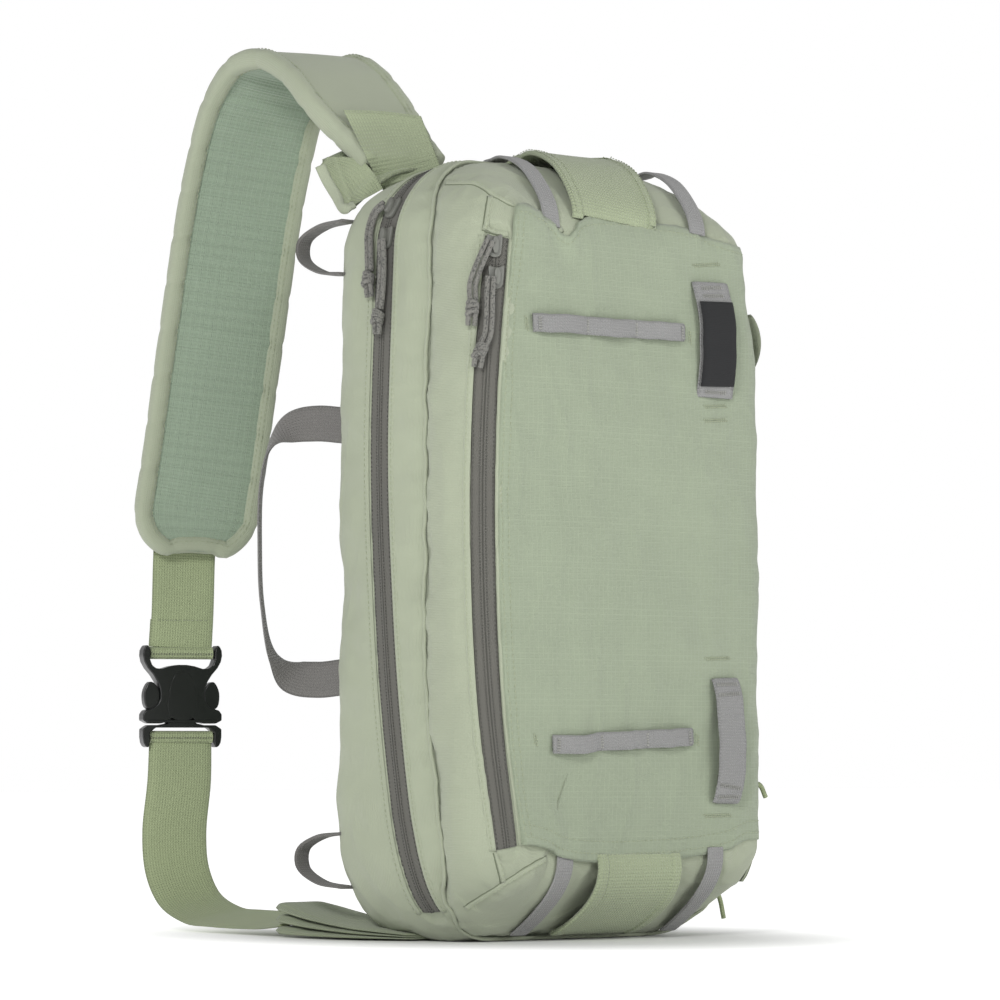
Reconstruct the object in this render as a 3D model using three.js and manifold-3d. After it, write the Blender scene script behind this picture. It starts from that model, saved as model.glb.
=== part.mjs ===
// Fishing sling bag: a padded two-compartment body with a one-shoulder strap.
// Millimetres. +Z is up, the front panel faces -Y, the wearer's back is at +Y.
// The origin is at the middle of the flat base.
import * as THREE from "three";
import Module from "manifold-3d";
import { mergeVertices } from "three/addons/utils/BufferGeometryUtils.js";

const wasm = await Module();
wasm.setup();

// Body sizes
const HEIGHT = 428;
const WIDTH = 225;
const FRONT_DEPTH = 61;
const BACK_DEPTH = 60;
const CORNER_TOP = 50;
const CORNER_BOTTOM = 52;
const ROUND_SIDE = 26;
const ROUND_TOP = 42;
const ROUND_BOTTOM = 51;
const CROWN = 4;
const SAG = 14;
const TOP_TAPER = 0.045;
const WALL = 3;
const GAP = 0.3;

// Back panel sizes
const BACK_PANEL_THICKNESS = 10;
const BACK_PANEL_MARGIN = 24;

// Zipper sizes
const ZIPPER_THICKNESS = 2;
const ZIPPER_RECESS = 0.4;
const MAIN_ZIPPER_WIDTH = 18;
const FRONT_ZIPPER_WIDTH = 17;
const SLIDER_LENGTH = 13;
const SLIDER_WIDTH = 9;
const SLIDER_THICKNESS = 4;
const HOLDER_LENGTH = 6.5;
const HOLDER_WIDTH = 4;
const HOLDER_THICKNESS = 5.2;
const CORD_DIAMETER = 2.8;
const KNOT_DIAMETER = 8;

// Strap sizes
const STRAP_WIDTH = 74;
const STRAP_THICKNESS = 11;
const STRAP_WEBBING_WIDTH = 38;
const STRAP_REACH = 190;
const STRAP_END_ROUND = 24;
const ANCHOR_WIDTH = 48;
const ANCHOR_FOOT = { back: -14, drop: -4.2 };
const LASH_WIDTH = 20;
const WING_THICKNESS = 2.5;
const WEBBING_THICKNESS = 1.8;
const BUCKLE_WIDTH = 49;
const BUCKLE_HEIGHT = 60;
const BUCKLE_THICKNESS = 9;

// Trim sizes
const HANDLE_WIDTH = 20;
const LOOP_WIDTH = 12;
const DAISY_WIDTH = 10;
const TAB_WIDTH = 21;
const CARRY_WIDTH = 63;
const LABEL_THICKNESS = 0.8;
const LABEL_WIDTH = 19;
const SIDE_TAB_LENGTH = 24;
const SIDE_TAB_ARCH = 5;
const SIDE_TAB = { back: -0.66, up: 0.8 };

// Side pocket sizes
const POCKET = { front: -0.7, back: 0.75, low: 0.07, high: 0.45 };
const POCKET_BULGE = 9;
const POCKET_RISE = { start: 0.1, span: 0.6 };
const POCKET_SEAT = 0.8;
const POCKET_CLOTH = 1.6;
const POCKET_ROWS = 5;
const POCKET_COLUMNS = 7;
const POCKET_CORD_REACH = 9;
const CORD_SIDES = 8;
const STRAND_STEPS = 8;

// Colours of the cloth, webbing and plastic
const FABRIC = 0xb4bea3;
const FRONT_FABRIC = 0xafba9f;
const TEXTURED = 0x9daa88;
const WEBBING_GREEN = 0x98a67f;
const WEBBING_GREY = 0x8b8a86;
const MESH_CLOTH = 0x87967f;
const BLACK = 0x26282a;

// Body profile from the back edge to the front edge. The columns are the row's name, its depth
// at the sides, top and bottom, its inset at the sides, top and bottom, and its sag. The depths
// are shares of BACK_DEPTH where positive and of FRONT_DEPTH where negative. The insets are
// shares of ROUND_SIDE, ROUND_TOP and ROUND_BOTTOM. The sag is a share of SAG.
const PROFILE = [
  ["back_edge", 1, 1, 1, 0.54, 0.64, 0.3, 0],
  ["back_round", 0.95, 0.95, 0.95, 0.2, 0.4, 0.1, 0],
  ["back_side", 0.8, 0.78, 0.78, 0.02, 0.24, 0, 0],
  ["gusset_mid", 0.33, 0.43, 0.37, -0.04, 0.06, 0, 0.85],
  ["gusset_front", -0.13, 0.13, -0.1, 0.04, 0, 0, 1],
  ["seam", -0.26, 0, -0.21, 0.15, 0.03, 0.03, 1],
  ["front_gusset", -0.39, -0.16, -0.36, 0.06, 0.04, 0.09, 0.8],
  ["corner_a", -0.62, -0.46, -0.61, 0.02, 0.19, 0.34, 0.3],
  ["corner_b", -0.85, -0.69, -0.82, 0.23, 0.43, 0.58, 0.1],
  ["corner_c", -0.97, -0.87, -0.93, 0.6, 0.7, 0.77, 0],
  ["front_edge", -1, -0.97, -0.985, 1, 1, 1, 0],
].map(([name, side, top, bottom, inSide, inTop, inBottom, sag]) => ({
  name, side, top, bottom, inSide, inTop, inBottom, sag,
}));
const CORNER_STEPS = 5;
const SIDE_STEPS = 9;
const TOP_STEPS = 4;
const CAP_RINGS = [0.7, 0.35];
const SAG_TOP = 0.35;
const SAG_SPAN = 0.26;
const TAPER_START = 0.62;

function smooth(t) {
  const s = Math.min(1, Math.max(0, t));
  return s * s * (3 - 2 * s);
}

function depth(share) {
  return share < 0 ? share * FRONT_DEPTH : share * BACK_DEPTH;
}

// Mixes a profile row's depths by how far a spot faces the side, the top and the bottom.
function mixedDepth(row, { side, top, bottom }) {
  return side * depth(row.side) + top * depth(row.top) + bottom * depth(row.bottom);
}

// Geometry helpers

function solidOf(geometry) {
  const bare = geometry.clone();
  bare.deleteAttribute("normal");
  bare.deleteAttribute("uv");
  const merged = mergeVertices(bare, 1e-4);
  const mesh = new wasm.Mesh({
    numProp: 3,
    vertProperties: new Float32Array(merged.attributes.position.array),
    triVerts: new Uint32Array(merged.index.array),
  });
  return new wasm.Manifold(mesh);
}

function geometryOf(solid) {
  const mesh = solid.getMesh();
  const geometry = new THREE.BufferGeometry();
  geometry.setAttribute("position", new THREE.BufferAttribute(new Float32Array(mesh.vertProperties), 3));
  geometry.setIndex(new THREE.BufferAttribute(new Uint32Array(mesh.triVerts), 1));
  return geometry;
}

function indexed(points, triangles) {
  const geometry = new THREE.BufferGeometry();
  const flat = points.flatMap((p) => [p.x, p.y, p.z]);
  geometry.setAttribute("position", new THREE.BufferAttribute(new Float32Array(flat), 3));
  geometry.setIndex(triangles.flat());
  return geometry;
}

// A closed skin through sections that all have the same number of points, with flat ends.
function loft(sections) {
  const count = sections[0].length;
  const triangles = [];
  for (let row = 0; row + 1 < sections.length; row += 1) {
    for (let i = 0; i < count; i += 1) {
      const a = row * count + i;
      const b = row * count + ((i + 1) % count);
      triangles.push([a, b, b + count], [a, b + count, a + count]);
    }
  }
  const last = (sections.length - 1) * count;
  for (let i = 1; i + 1 < count; i += 1) {
    triangles.push([0, i + 1, i], [last, last + i, last + i + 1]);
  }
  return indexed(sections.flat(), triangles);
}

// The loft as a solid, whichever way round its sections run.
function loftSolid(sections) {
  const solid = solidOf(loft(sections));
  return solid.volume() < 0 ? solidOf(loft(sections.map((s) => s.reverse()))) : solid;
}

// A flat outline with (a, b) points, extruded by a length along the third axis.
function prism(outline, aAxis, bAxis, start, length) {
  const shape = new THREE.Shape(outline.map(([a, b]) => new THREE.Vector2(a, b)));
  const geometry = new THREE.ExtrudeGeometry(shape, { depth: length, bevelEnabled: false, steps: 1 });
  const across = new THREE.Vector3().crossVectors(aAxis, bAxis);
  const basis = new THREE.Matrix4().makeBasis(aAxis, bAxis, across);
  basis.setPosition(across.clone().multiplyScalar(start));
  geometry.applyMatrix4(basis);
  return solidOf(geometry);
}

const AXIS_X = new THREE.Vector3(1, 0, 0);
const AXIS_Y = new THREE.Vector3(0, 1, 0);
const AXIS_Z = new THREE.Vector3(0, 0, 1);

// Body skin

function outline() {
  const half = WIDTH / 2;
  const points = [];
  const arc = (x, z, radius, from, to) => {
    for (let i = 0; i <= CORNER_STEPS; i += 1) {
      const angle = THREE.MathUtils.degToRad(from + ((to - from) * i) / CORNER_STEPS);
      const out = { x: Math.cos(angle), z: Math.sin(angle) };
      points.push({ x: x + radius * out.x, z: z + radius * out.z, outX: out.x, outZ: out.z });
    }
  };
  const line = (from, to, out, steps) => {
    for (let i = 1; i < steps; i += 1) {
      const t = i / steps;
      points.push({
        x: from[0] + (to[0] - from[0]) * t,
        z: from[1] + (to[1] - from[1]) * t,
        outX: out[0],
        outZ: out[1],
      });
    }
  };
  const low = CORNER_BOTTOM;
  const high = HEIGHT - CORNER_TOP;
  arc(half - CORNER_BOTTOM, low, CORNER_BOTTOM, -90, 0);
  line([half, low], [half, high], [1, 0], SIDE_STEPS);
  arc(half - CORNER_TOP, high, CORNER_TOP, 0, 90);
  line([half - CORNER_TOP, HEIGHT], [CORNER_TOP - half, HEIGHT], [0, 1], TOP_STEPS);
  arc(CORNER_TOP - half, high, CORNER_TOP, 90, 180);
  line([-half, high], [-half, low], [-1, 0], SIDE_STEPS);
  arc(CORNER_BOTTOM - half, low, CORNER_BOTTOM, 180, 270);
  line([CORNER_BOTTOM - half, 0], [half - CORNER_BOTTOM, 0], [0, -1], TOP_STEPS);
  return points;
}

function taper(z) {
  return 1 - TOP_TAPER * smooth((z / HEIGHT - TAPER_START) / (1 - TAPER_START));
}

function sagAt(z) {
  return SAG * smooth((SAG_TOP - z / HEIGHT) / SAG_SPAN);
}

function ringPoint(spot, row) {
  const side = spot.outX ** 2;
  const top = Math.max(0, spot.outZ) ** 2;
  const bottom = Math.max(0, -spot.outZ) ** 2;
  const inset = side * row.inSide * ROUND_SIDE
    + top * row.inTop * ROUND_TOP
    + bottom * row.inBottom * ROUND_BOTTOM;
  const z = spot.z - spot.outZ * inset;
  const y = mixedDepth(row, { side, top, bottom }) - side * row.sag * sagAt(z);
  return new THREE.Vector3((spot.x - spot.outX * inset) * taper(z), y, z);
}

function capPoint(edge, share, peak) {
  const middle = new THREE.Vector3(0, peak, HEIGHT / 2);
  const point = edge.clone().lerp(middle, 1 - share);
  point.y = edge.y * share ** 2 + peak * (1 - share ** 2);
  return point;
}

// The whole body moved inwards by an offset, or outwards where it is negative.
function skin(offset) {
  const spots = outline();
  const rings = PROFILE.map((row) => spots.map((spot) => ringPoint(spot, row)));
  const front = rings[rings.length - 1];
  const back = rings[0];
  const frontPeak = -FRONT_DEPTH - CROWN;
  const ordered = [
    ...CAP_RINGS.map((share) => back.map((p) => capPoint(p, share, BACK_DEPTH))).reverse(),
    ...rings,
    ...CAP_RINGS.map((share) => front.map((p) => capPoint(p, share, frontPeak))),
  ];
  const count = spots.length;
  const points = ordered.flat();
  const triangles = [];
  for (let row = 0; row + 1 < ordered.length; row += 1) {
    for (let i = 0; i < count; i += 1) {
      const a = row * count + i;
      const b = row * count + ((i + 1) % count);
      triangles.push([a, b, b + count], [a, b + count, a + count]);
    }
  }
  const last = (ordered.length - 1) * count;
  const backMiddle = points.push(new THREE.Vector3(0, BACK_DEPTH, HEIGHT / 2)) - 1;
  const frontMiddle = points.push(new THREE.Vector3(0, frontPeak, HEIGHT / 2)) - 1;
  for (let i = 0; i < count; i += 1) {
    const next = (i + 1) % count;
    triangles.push([backMiddle, next, i], [frontMiddle, last + i, last + next]);
  }
  const geometry = indexed(points, triangles);
  geometry.computeVertexNormals();
  const normals = geometry.attributes.normal;
  points.forEach((p, i) => {
    p.addScaledVector(new THREE.Vector3().fromBufferAttribute(normals, i), -offset);
  });
  return solidOf(indexed(points, triangles));
}

// Depth of the seam between the two compartments at a height.
function seamDepth(z) {
  const row = PROFILE.find((r) => r.name === "seam");
  const low = Math.max(0, 1 - z / CORNER_BOTTOM);
  const high = Math.max(0, (z - (HEIGHT - CORNER_TOP)) / CORNER_TOP);
  const bottom = Math.min(1, low) ** 2;
  const top = Math.min(1, high) ** 2;
  const side = 1 - bottom - top;
  return mixedDepth(row, { side, top, bottom }) - side * row.sag * sagAt(z);
}

const SEAM_HEIGHTS = [-0.1, 0, 0.012, 0.05, 0.1, 0.16, 0.22, 0.28, 0.35, 0.88, 0.94, 0.985, 1, 1.1];

function behindSeam(shift) {
  const line = SEAM_HEIGHTS.map((share) => [seamDepth(share * HEIGHT) + shift, share * HEIGHT]);
  const far = BACK_DEPTH * 3;
  const corners = [[far, line[line.length - 1][1]], [far, line[0][1]]];
  return prism([...line, ...corners].reverse(), AXIS_Y, AXIS_Z, -WIDTH, WIDTH * 2);
}

// A strip round a path, as an outline in two coordinates.
function stripOutline(path, width) {
  const left = [];
  const right = [];
  path.forEach((p, i) => {
    const before = path[Math.max(0, i - 1)];
    const after = path[Math.min(path.length - 1, i + 1)];
    const along = new THREE.Vector2(after[0] - before[0], after[1] - before[1]).normalize();
    left.push([p[0] - (along.y * width) / 2, p[1] + (along.x * width) / 2]);
    right.push([p[0] + (along.y * width) / 2, p[1] - (along.x * width) / 2]);
  });
  return [...right, ...left.reverse()];
}

// Main zipper, down the left gusset: depth as a share of BACK_DEPTH, height as a share of HEIGHT.
const MAIN_ZIPPER_PATH = [
  { back: -0.13, up: 0.036 },
  { back: -0.12, up: 0.093 },
  { back: 0, up: 0.164 },
  { back: 0.16, up: 0.304 },
  { back: 0.26, up: 0.467 },
  { back: 0.3, up: 0.584 },
  { back: 0.3, up: 1.05 },
];
const MAIN_ZIPPER_END = -0.24;

function mainStrip(clearance) {
  const path = MAIN_ZIPPER_PATH.map((r) => [r.back * BACK_DEPTH, r.up * HEIGHT]);
  path[0][1] += clearance;
  const strip = stripOutline(path, MAIN_ZIPPER_WIDTH - 2 * clearance);
  const end = MAIN_ZIPPER_END * WIDTH - clearance;
  return prism(strip, AXIS_Y, AXIS_Z, -WIDTH, WIDTH + end);
}

// Front zipper, down the front left corner: across is measured along a line at 42 degrees to the
// front, as a share of WIDTH, and height is a share of HEIGHT.
const CORNER_VIEW = THREE.MathUtils.degToRad(42);
const CORNER_ACROSS = new THREE.Vector3(Math.cos(CORNER_VIEW), -Math.sin(CORNER_VIEW), 0);
const CORNER_OUT = new THREE.Vector3(-Math.sin(CORNER_VIEW), -Math.cos(CORNER_VIEW), 0);
const FRONT_ZIPPER_PATH = [
  { across: -0.115, up: 0.12 },
  { across: -0.157, up: 0.305 },
  { across: -0.174, up: 0.49 },
  { across: -0.169, up: 0.68 },
  { across: -0.138, up: 0.885 },
];

function frontStrip(clearance) {
  const path = FRONT_ZIPPER_PATH.map((r) => [r.across * WIDTH, r.up * HEIGHT]);
  path[0][1] += clearance;
  path[path.length - 1][1] -= clearance;
  const strip = stripOutline(path, FRONT_ZIPPER_WIDTH - 2 * clearance);
  return prism(strip, CORNER_ACROSS, AXIS_Z, 0, WIDTH);
}

const body = skin(0);
const lining = skin(WALL);
const clearOfBody = skin(-GAP);

function mainCompartment() {
  const room = lining.intersect(behindSeam(WALL));
  return body.intersect(behindSeam(0)).subtract(room).subtract(mainStrip(0));
}

function frontCompartment() {
  return body.subtract(behindSeam(-GAP)).subtract(lining).subtract(frontStrip(0));
}

function zipperTape(strip) {
  return skin(ZIPPER_RECESS).subtract(skin(ZIPPER_RECESS + ZIPPER_THICKNESS)).intersect(strip);
}

// Straps and webbing

const ROUND_STEPS = 4;

// The section of a ribbon: flat with square edges, or padded with round ones.
function sectionPoints(width, thickness, round) {
  if (!round) {
    const corners = [[-0.5, -0.5], [0.5, -0.5], [0.5, 0.5], [-0.5, 0.5]];
    return corners.map(([u, v]) => [u * width, v * thickness]);
  }
  const reach = (width - thickness) / 2;
  const points = [];
  for (const side of [1, -1]) {
    for (let i = 0; i <= ROUND_STEPS; i += 1) {
      const angle = (Math.PI * i) / ROUND_STEPS - Math.PI / 2;
      const u = side * (reach + (Math.cos(angle) * thickness) / 2);
      points.push([u, (side * Math.sin(angle) * thickness) / 2]);
    }
  }
  return points;
}

// A ribbon along a smooth path. A row has a point and the direction of the ribbon's width.
// shape(t) gives the section's width and thickness at a share t of the path.
function ribbon(rows, steps, shape, round = false) {
  const path = new THREE.CatmullRomCurve3(rows.map((r) => r.point), false, "centripetal");
  const wide = new THREE.CatmullRomCurve3(rows.map((r) => r.wide), false, "centripetal");
  const sections = [];
  for (let i = 0; i <= steps; i += 1) {
    const t = i / steps;
    const at = path.getPoint(t);
    const along = path.getTangent(t);
    const across = wide.getPoint(t);
    across.addScaledVector(along, -across.dot(along)).normalize();
    const out = new THREE.Vector3().crossVectors(across, along);
    const size = shape(t);
    sections.push(sectionPoints(size.width, size.thickness, round).map(([u, v]) =>
      at.clone().addScaledVector(across, u).addScaledVector(out, v)));
  }
  return loftSolid(sections);
}

function webbing(rows, width, steps, thickness = WEBBING_THICKNESS) {
  return ribbon(rows, steps, () => ({ width, thickness }));
}

// A piece that lies on the body keeps a small gap to it.
function seat(solid) {
  return solid.subtract(clearOfBody);
}

// The direction of a ribbon's width: heading turns it from +X towards -Y, lift raises it.
function widthDirection(heading, lift) {
  const turn = THREE.MathUtils.degToRad(heading);
  const rise = THREE.MathUtils.degToRad(lift);
  const level = new THREE.Vector3(Math.cos(turn), -Math.sin(turn), 0);
  return level.multiplyScalar(Math.cos(rise)).setZ(Math.sin(rise));
}

// across is a share of WIDTH, back of STRAP_REACH behind the back edge, up of HEIGHT.
function strapPoint({ across, back, up }) {
  return new THREE.Vector3(across * WIDTH, BACK_DEPTH + back * STRAP_REACH, up * HEIGHT);
}

function strapRow(row) {
  return { point: strapPoint(row), wide: widthDirection(row.heading, row.lift) };
}

const STRAP_PATH = [
  { across: -0.265, back: 0, up: 1.01, heading: 0, lift: 6 },
  { across: -0.27, back: 0.1, up: 1.052, heading: 0, lift: 6 },
  { across: -0.276, back: 0.2, up: 1.097, heading: 0, lift: 5 },
  { across: -0.276, back: 0.3, up: 1.138, heading: 2, lift: 3 },
  { across: -0.276, back: 0.42, up: 1.163, heading: 6, lift: 2 },
  { across: -0.276, back: 0.54, up: 1.153, heading: 11, lift: 1 },
  { across: -0.276, back: 0.64, up: 1.105, heading: 16, lift: 0 },
  { across: -0.276, back: 0.71, up: 1.03, heading: 19, lift: 0 },
  { across: -0.278, back: 0.77, up: 0.93, heading: 20, lift: 0 },
  { across: -0.285, back: 0.81, up: 0.83, heading: 20, lift: 0 },
  { across: -0.293, back: 0.845, up: 0.735, heading: 20, lift: 0 },
  { across: -0.3, back: 0.88, up: 0.64, heading: 20, lift: 0 },
  { across: -0.311, back: 0.905, up: 0.56, heading: 20, lift: 0 },
  { across: -0.313, back: 0.908, up: 0.513, heading: 20, lift: 0 },
];
const STRAP_STEPS = 28;
const STRAP_START_WIDTH = 0.78;
const STRAP_START_SHARE = 1 / 6;

const strapCurve = new THREE.CatmullRomCurve3(STRAP_PATH.map(strapPoint), false, "centripetal");

// The strap narrows where it is sewn in, and its lower end is round.
function strapShape(t) {
  const fromEnd = ((1 - t) * strapCurve.getLength()) / STRAP_END_ROUND;
  const bend = Math.sqrt(1 - (1 - Math.min(1, fromEnd)) ** 2);
  const start = STRAP_START_WIDTH + (1 - STRAP_START_WIDTH) * smooth(t / STRAP_START_SHARE);
  const straight = STRAP_WIDTH - 2 * STRAP_END_ROUND;
  return { width: start * (straight + 2 * STRAP_END_ROUND * bend), thickness: STRAP_THICKNESS };
}

// The strap, or the strap grown by a clearance.
function strapSolid(grow) {
  const shape = (t) => {
    const size = strapShape(t);
    return { width: size.width + 2 * grow, thickness: size.thickness + 2 * grow };
  };
  return ribbon(STRAP_PATH.map(strapRow), STRAP_STEPS, shape, true);
}

const clearOfStrap = strapSolid(GAP);

// Rows that lie on the strap's outer face, between two rows of STRAP_PATH.
function outerFaceRows(first, last, shift) {
  const rise = STRAP_THICKNESS / 2 + GAP + WEBBING_THICKNESS / 2;
  return STRAP_PATH.slice(first, last + 1).map((row, i) => {
    const { point, wide } = strapRow(row);
    const along = strapCurve.getTangent((first + i) / (STRAP_PATH.length - 1));
    const out = new THREE.Vector3().crossVectors(along, wide).normalize();
    return { point: point.addScaledVector(out, -rise).addScaledVector(wide, shift), wide };
  });
}

function anchorWebbing() {
  const rows = outerFaceRows(0, 3, 0);
  const foot = rows[0].point.clone().add(new THREE.Vector3(0, ANCHOR_FOOT.back, ANCHOR_FOOT.drop));
  const run = webbing([{ point: foot, wide: rows[0].wide }, ...rows], ANCHOR_WIDTH, 14);
  return seat(run).subtract(clearOfStrap);
}

function lashWebbing() {
  return webbing(outerFaceRows(7, 11, 0), LASH_WIDTH, 12).subtract(clearOfStrap);
}

// The cloth wing below the strap, from the top back edge of the body to the strap.
const WING_TOP = [
  { across: -0.46, back: -0.02, up: 0.935 },
  { across: -0.3, back: -0.03, up: 0.992 },
  { across: -0.08, back: -0.02, up: 0.997 },
];
const WING_STRAP = [
  { across: -0.42, back: 0.15, up: 1.02 },
  { across: -0.28, back: 0.16, up: 1.044 },
  { across: -0.12, back: 0.17, up: 1.05 },
];

function wingTop() {
  const rise = new THREE.Vector3(0, -1, 1).setLength(WING_THICKNESS);
  const sections = WING_TOP.map((row, i) => {
    const low = strapPoint(row);
    const high = strapPoint(WING_STRAP[i]);
    return [low, high, high.clone().add(rise), low.clone().add(rise)];
  });
  return seat(loftSolid(sections)).subtract(clearOfStrap);
}

const UPPER_WEBBING_PATH = [
  { across: -0.316, back: 0.948, up: 0.575, heading: 20, lift: 0 },
  { across: -0.32, back: 0.952, up: 0.5, heading: 20, lift: 0 },
  { across: -0.32, back: 0.958, up: 0.43, heading: 20, lift: 0 },
  { across: -0.32, back: 0.967, up: 0.3825, heading: 21, lift: 0 },
];
const LOWER_WEBBING_PATH = [
  { across: -0.32, back: 0.967, up: 0.2535, heading: 21, lift: 0 },
  { across: -0.32, back: 0.972, up: 0.2, heading: 25, lift: 0 },
  { across: -0.32, back: 0.995, up: 0.13, heading: 28, lift: 2 },
  { across: -0.32, back: 0.98, up: 0.08, heading: 26, lift: 5 },
  { across: -0.32, back: 0.92, up: 0.042, heading: 20, lift: 9 },
  { across: -0.325, back: 0.8, up: 0.021, heading: 12, lift: 13 },
  { across: -0.338, back: 0.66, up: 0.018, heading: 8, lift: 14 },
  { across: -0.356, back: 0.44, up: 0.018, heading: 4, lift: 14 },
  { across: -0.382, back: 0.27, up: 0.021, heading: 0, lift: 10 },
];

// Buckle

const BUCKLE_PLACE = { across: -0.32, back: 0.967, up: 0.317, heading: 21, lift: 0 };

// A half of the buckle, across and up from its middle as shares of BUCKLE_WIDTH and BUCKLE_HEIGHT.
function buckleShape(outer, thickness) {
  const scaled = outer.map(([a, b]) => new THREE.Vector2(a * BUCKLE_WIDTH, b * BUCKLE_HEIGHT));
  const options = { depth: thickness, bevelEnabled: false, steps: 1 };
  const geometry = new THREE.ExtrudeGeometry(new THREE.Shape(scaled), options);
  const { point, wide } = strapRow(BUCKLE_PLACE);
  const out = new THREE.Vector3().crossVectors(wide, AXIS_Z);
  const basis = new THREE.Matrix4().makeBasis(wide, AXIS_Z, out);
  geometry.applyMatrix4(basis.setPosition(point.addScaledVector(out, -thickness / 2)));
  return solidOf(geometry);
}

function mirrored(half) {
  return [...half, ...half.map(([a, b]) => [-a, b]).reverse()];
}

const SOCKET_HALF = [
  [0.1, 0.3], [0.3, 0.25], [0.4, 0.31], [0.405, 0.47], [0.45, 0.5], [0.5, 0.42], [0.47, 0.3],
  [0.33, 0.17], [0.27, 0.05], [0.28, -0.06], [0.36, -0.12], [0.49, -0.15], [0.49, -0.27], [0.2, -0.27],
  [0.1, -0.2],
];
const SHOULDER = [[0.3, -0.13], [0.45, -0.14], [0.48, 0.02], [0.42, 0.13], [0.36, 0.14], [0.26, 0.05]];
const TOP_BAR = { half: 0.43, low: 0.385, high: 0.445 };
const PRONG_HALF = [
  [0.1, -0.31], [0.4, -0.31], [0.4, -0.5], [0.45, -0.5], [0.49, -0.44], [0.49, -0.285],
  [0.2, -0.285], [0.1, -0.215],
];
const BOTTOM_BAR = { half: 0.43, low: -0.43, high: -0.37 };
const BAR_THICKNESS = 3.6;
const SHOULDER_THICKNESS = 6.3;
const PRONG_THICKNESS = 8.1;

function barOutline(bar, half, grow) {
  const up = grow / BUCKLE_HEIGHT;
  return [[-half, bar.low - up], [half, bar.low - up], [half, bar.high + up], [-half, bar.high + up]];
}

function buckleBar(bar, half, grow) {
  return buckleShape(barOutline(bar, half, grow), BAR_THICKNESS + 2 * grow);
}

function buckleSocket() {
  const right = buckleShape(SHOULDER, SHOULDER_THICKNESS);
  const left = buckleShape(SHOULDER.map(([a, b]) => [-a, b]).reverse(), SHOULDER_THICKNESS);
  const frame = buckleShape(mirrored(SOCKET_HALF), BUCKLE_THICKNESS);
  return frame.add(right).add(left).add(buckleBar(TOP_BAR, TOP_BAR.half, 0));
}

function buckleProng() {
  const frame = buckleShape(mirrored(PRONG_HALF), PRONG_THICKNESS);
  return frame.add(buckleBar(BOTTOM_BAR, BOTTOM_BAR.half, 0));
}

// Webbing that runs to a bar of the buckle and folds round it.
function buckleWebbing(path, bar, steps) {
  const sleeve = buckleBar(bar, STRAP_WEBBING_WIDTH / 2 / BUCKLE_WIDTH, GAP + WEBBING_THICKNESS);
  const run = webbing(path.map(strapRow), STRAP_WEBBING_WIDTH, steps);
  return run.add(sleeve).subtract(buckleBar(bar, 1, GAP));
}

// The folded cloth wing at the foot of the strap lies on the floor. A section goes across the
// wing: its two ends (across, back), and the height of its underside and its thickness as
// shares of WING_FOLD.
const WING_FOLD = 20;
const WING_BOTTOM = [
  { from: [-0.4, -0.2], to: [-0.3, -0.22], low: 0.03, thick: 0.15 },
  { from: [-0.47, -0.05], to: [-0.29, -0.02], low: 0.03, thick: 0.35 },
  { from: [-0.49, 0.12], to: [-0.27, 0.14], low: 0.03, thick: 0.65 },
  { from: [-0.475, 0.28], to: [-0.29, 0.3], low: 0.04, thick: 0.95 },
];

function wingBottom(lowerWebbing) {
  const sections = WING_BOTTOM.map(({ from, to, low, thick }) => {
    const left = strapPoint({ across: from[0], back: from[1], up: 0 });
    const right = strapPoint({ across: to[0], back: to[1], up: 0 });
    const under = low * WING_FOLD;
    const over = (low + thick) * WING_FOLD;
    return [left.clone().setZ(under), right.clone().setZ(under), right.clone().setZ(over), left.setZ(over)];
  });
  return seat(loftSolid(sections)).subtract(lowerWebbing);
}

// Grey webbing in the back left seam

// across is a share of WIDTH, back of BACK_DEPTH, up of HEIGHT, wide the direction of the width.
function backRow([across, back, up, wide]) {
  const point = new THREE.Vector3(across * WIDTH, back * BACK_DEPTH, up * HEIGHT);
  return { point, wide: new THREE.Vector3(...wide) };
}

const UPRIGHT = [0, 0, 1];
const SIGHT = [0.67, 0.74, 0];
const LEVEL = [1, 0.15, 0];
const SIDE_HANDLE_PATH = [
  [-0.478, 0.9, 0.656, UPRIGHT],
  [-0.5, 1.25, 0.668, UPRIGHT],
  [-0.535, 1.5, 0.66, [0.2, 0.2, 1]],
  [-0.568, 1.62, 0.615, [0.5, 0.55, 0.6]],
  [-0.586, 1.63, 0.56, SIGHT],
  [-0.586, 1.62, 0.5, SIGHT],
  [-0.58, 1.61, 0.44, SIGHT],
  [-0.565, 1.58, 0.385, [0.5, 0.55, 0.6]],
  [-0.535, 1.42, 0.345, [0.2, 0.2, 1]],
  [-0.5, 1.18, 0.333, UPRIGHT],
  [-0.478, 0.9, 0.336, UPRIGHT],
];

function backLoopPath(middle) {
  const reach = [[-0.475, 0.86, 0.036], [-0.482, 1.2, 0.031], [-0.49, 1.42, 0.014],
    [-0.49, 1.42, -0.008], [-0.482, 1.2, -0.027], [-0.475, 0.86, -0.033]];
  return reach.map(([across, back, rise]) => [across, back, middle + rise, LEVEL]);
}

function seamWebbing(path, width, steps) {
  return seat(webbing(path.map(backRow), width, steps));
}

// Webbing on the front panel

// The depth of the front panel's surface.
function frontAt(x, z) {
  const round = z > HEIGHT / 2 ? ROUND_TOP : ROUND_BOTTOM;
  const across = Math.abs(x) / (WIDTH / 2 - ROUND_SIDE);
  const up = Math.abs(z - HEIGHT / 2) / (HEIGHT / 2 - round);
  const share = Math.max(across, up);
  return -FRONT_DEPTH - CROWN * (1 - Math.min(1, share) ** 2);
}

function onFront(x, z, lift) {
  return new THREE.Vector3(x, frontAt(x, z) - GAP - WEBBING_THICKNESS / 2 - lift, z);
}

// The height of webbing sewn down at whole numbers, with a full arch between them.
function arch(t) {
  return Math.abs(Math.sin(Math.PI * t)) ** ARCH_POWER;
}

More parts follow.
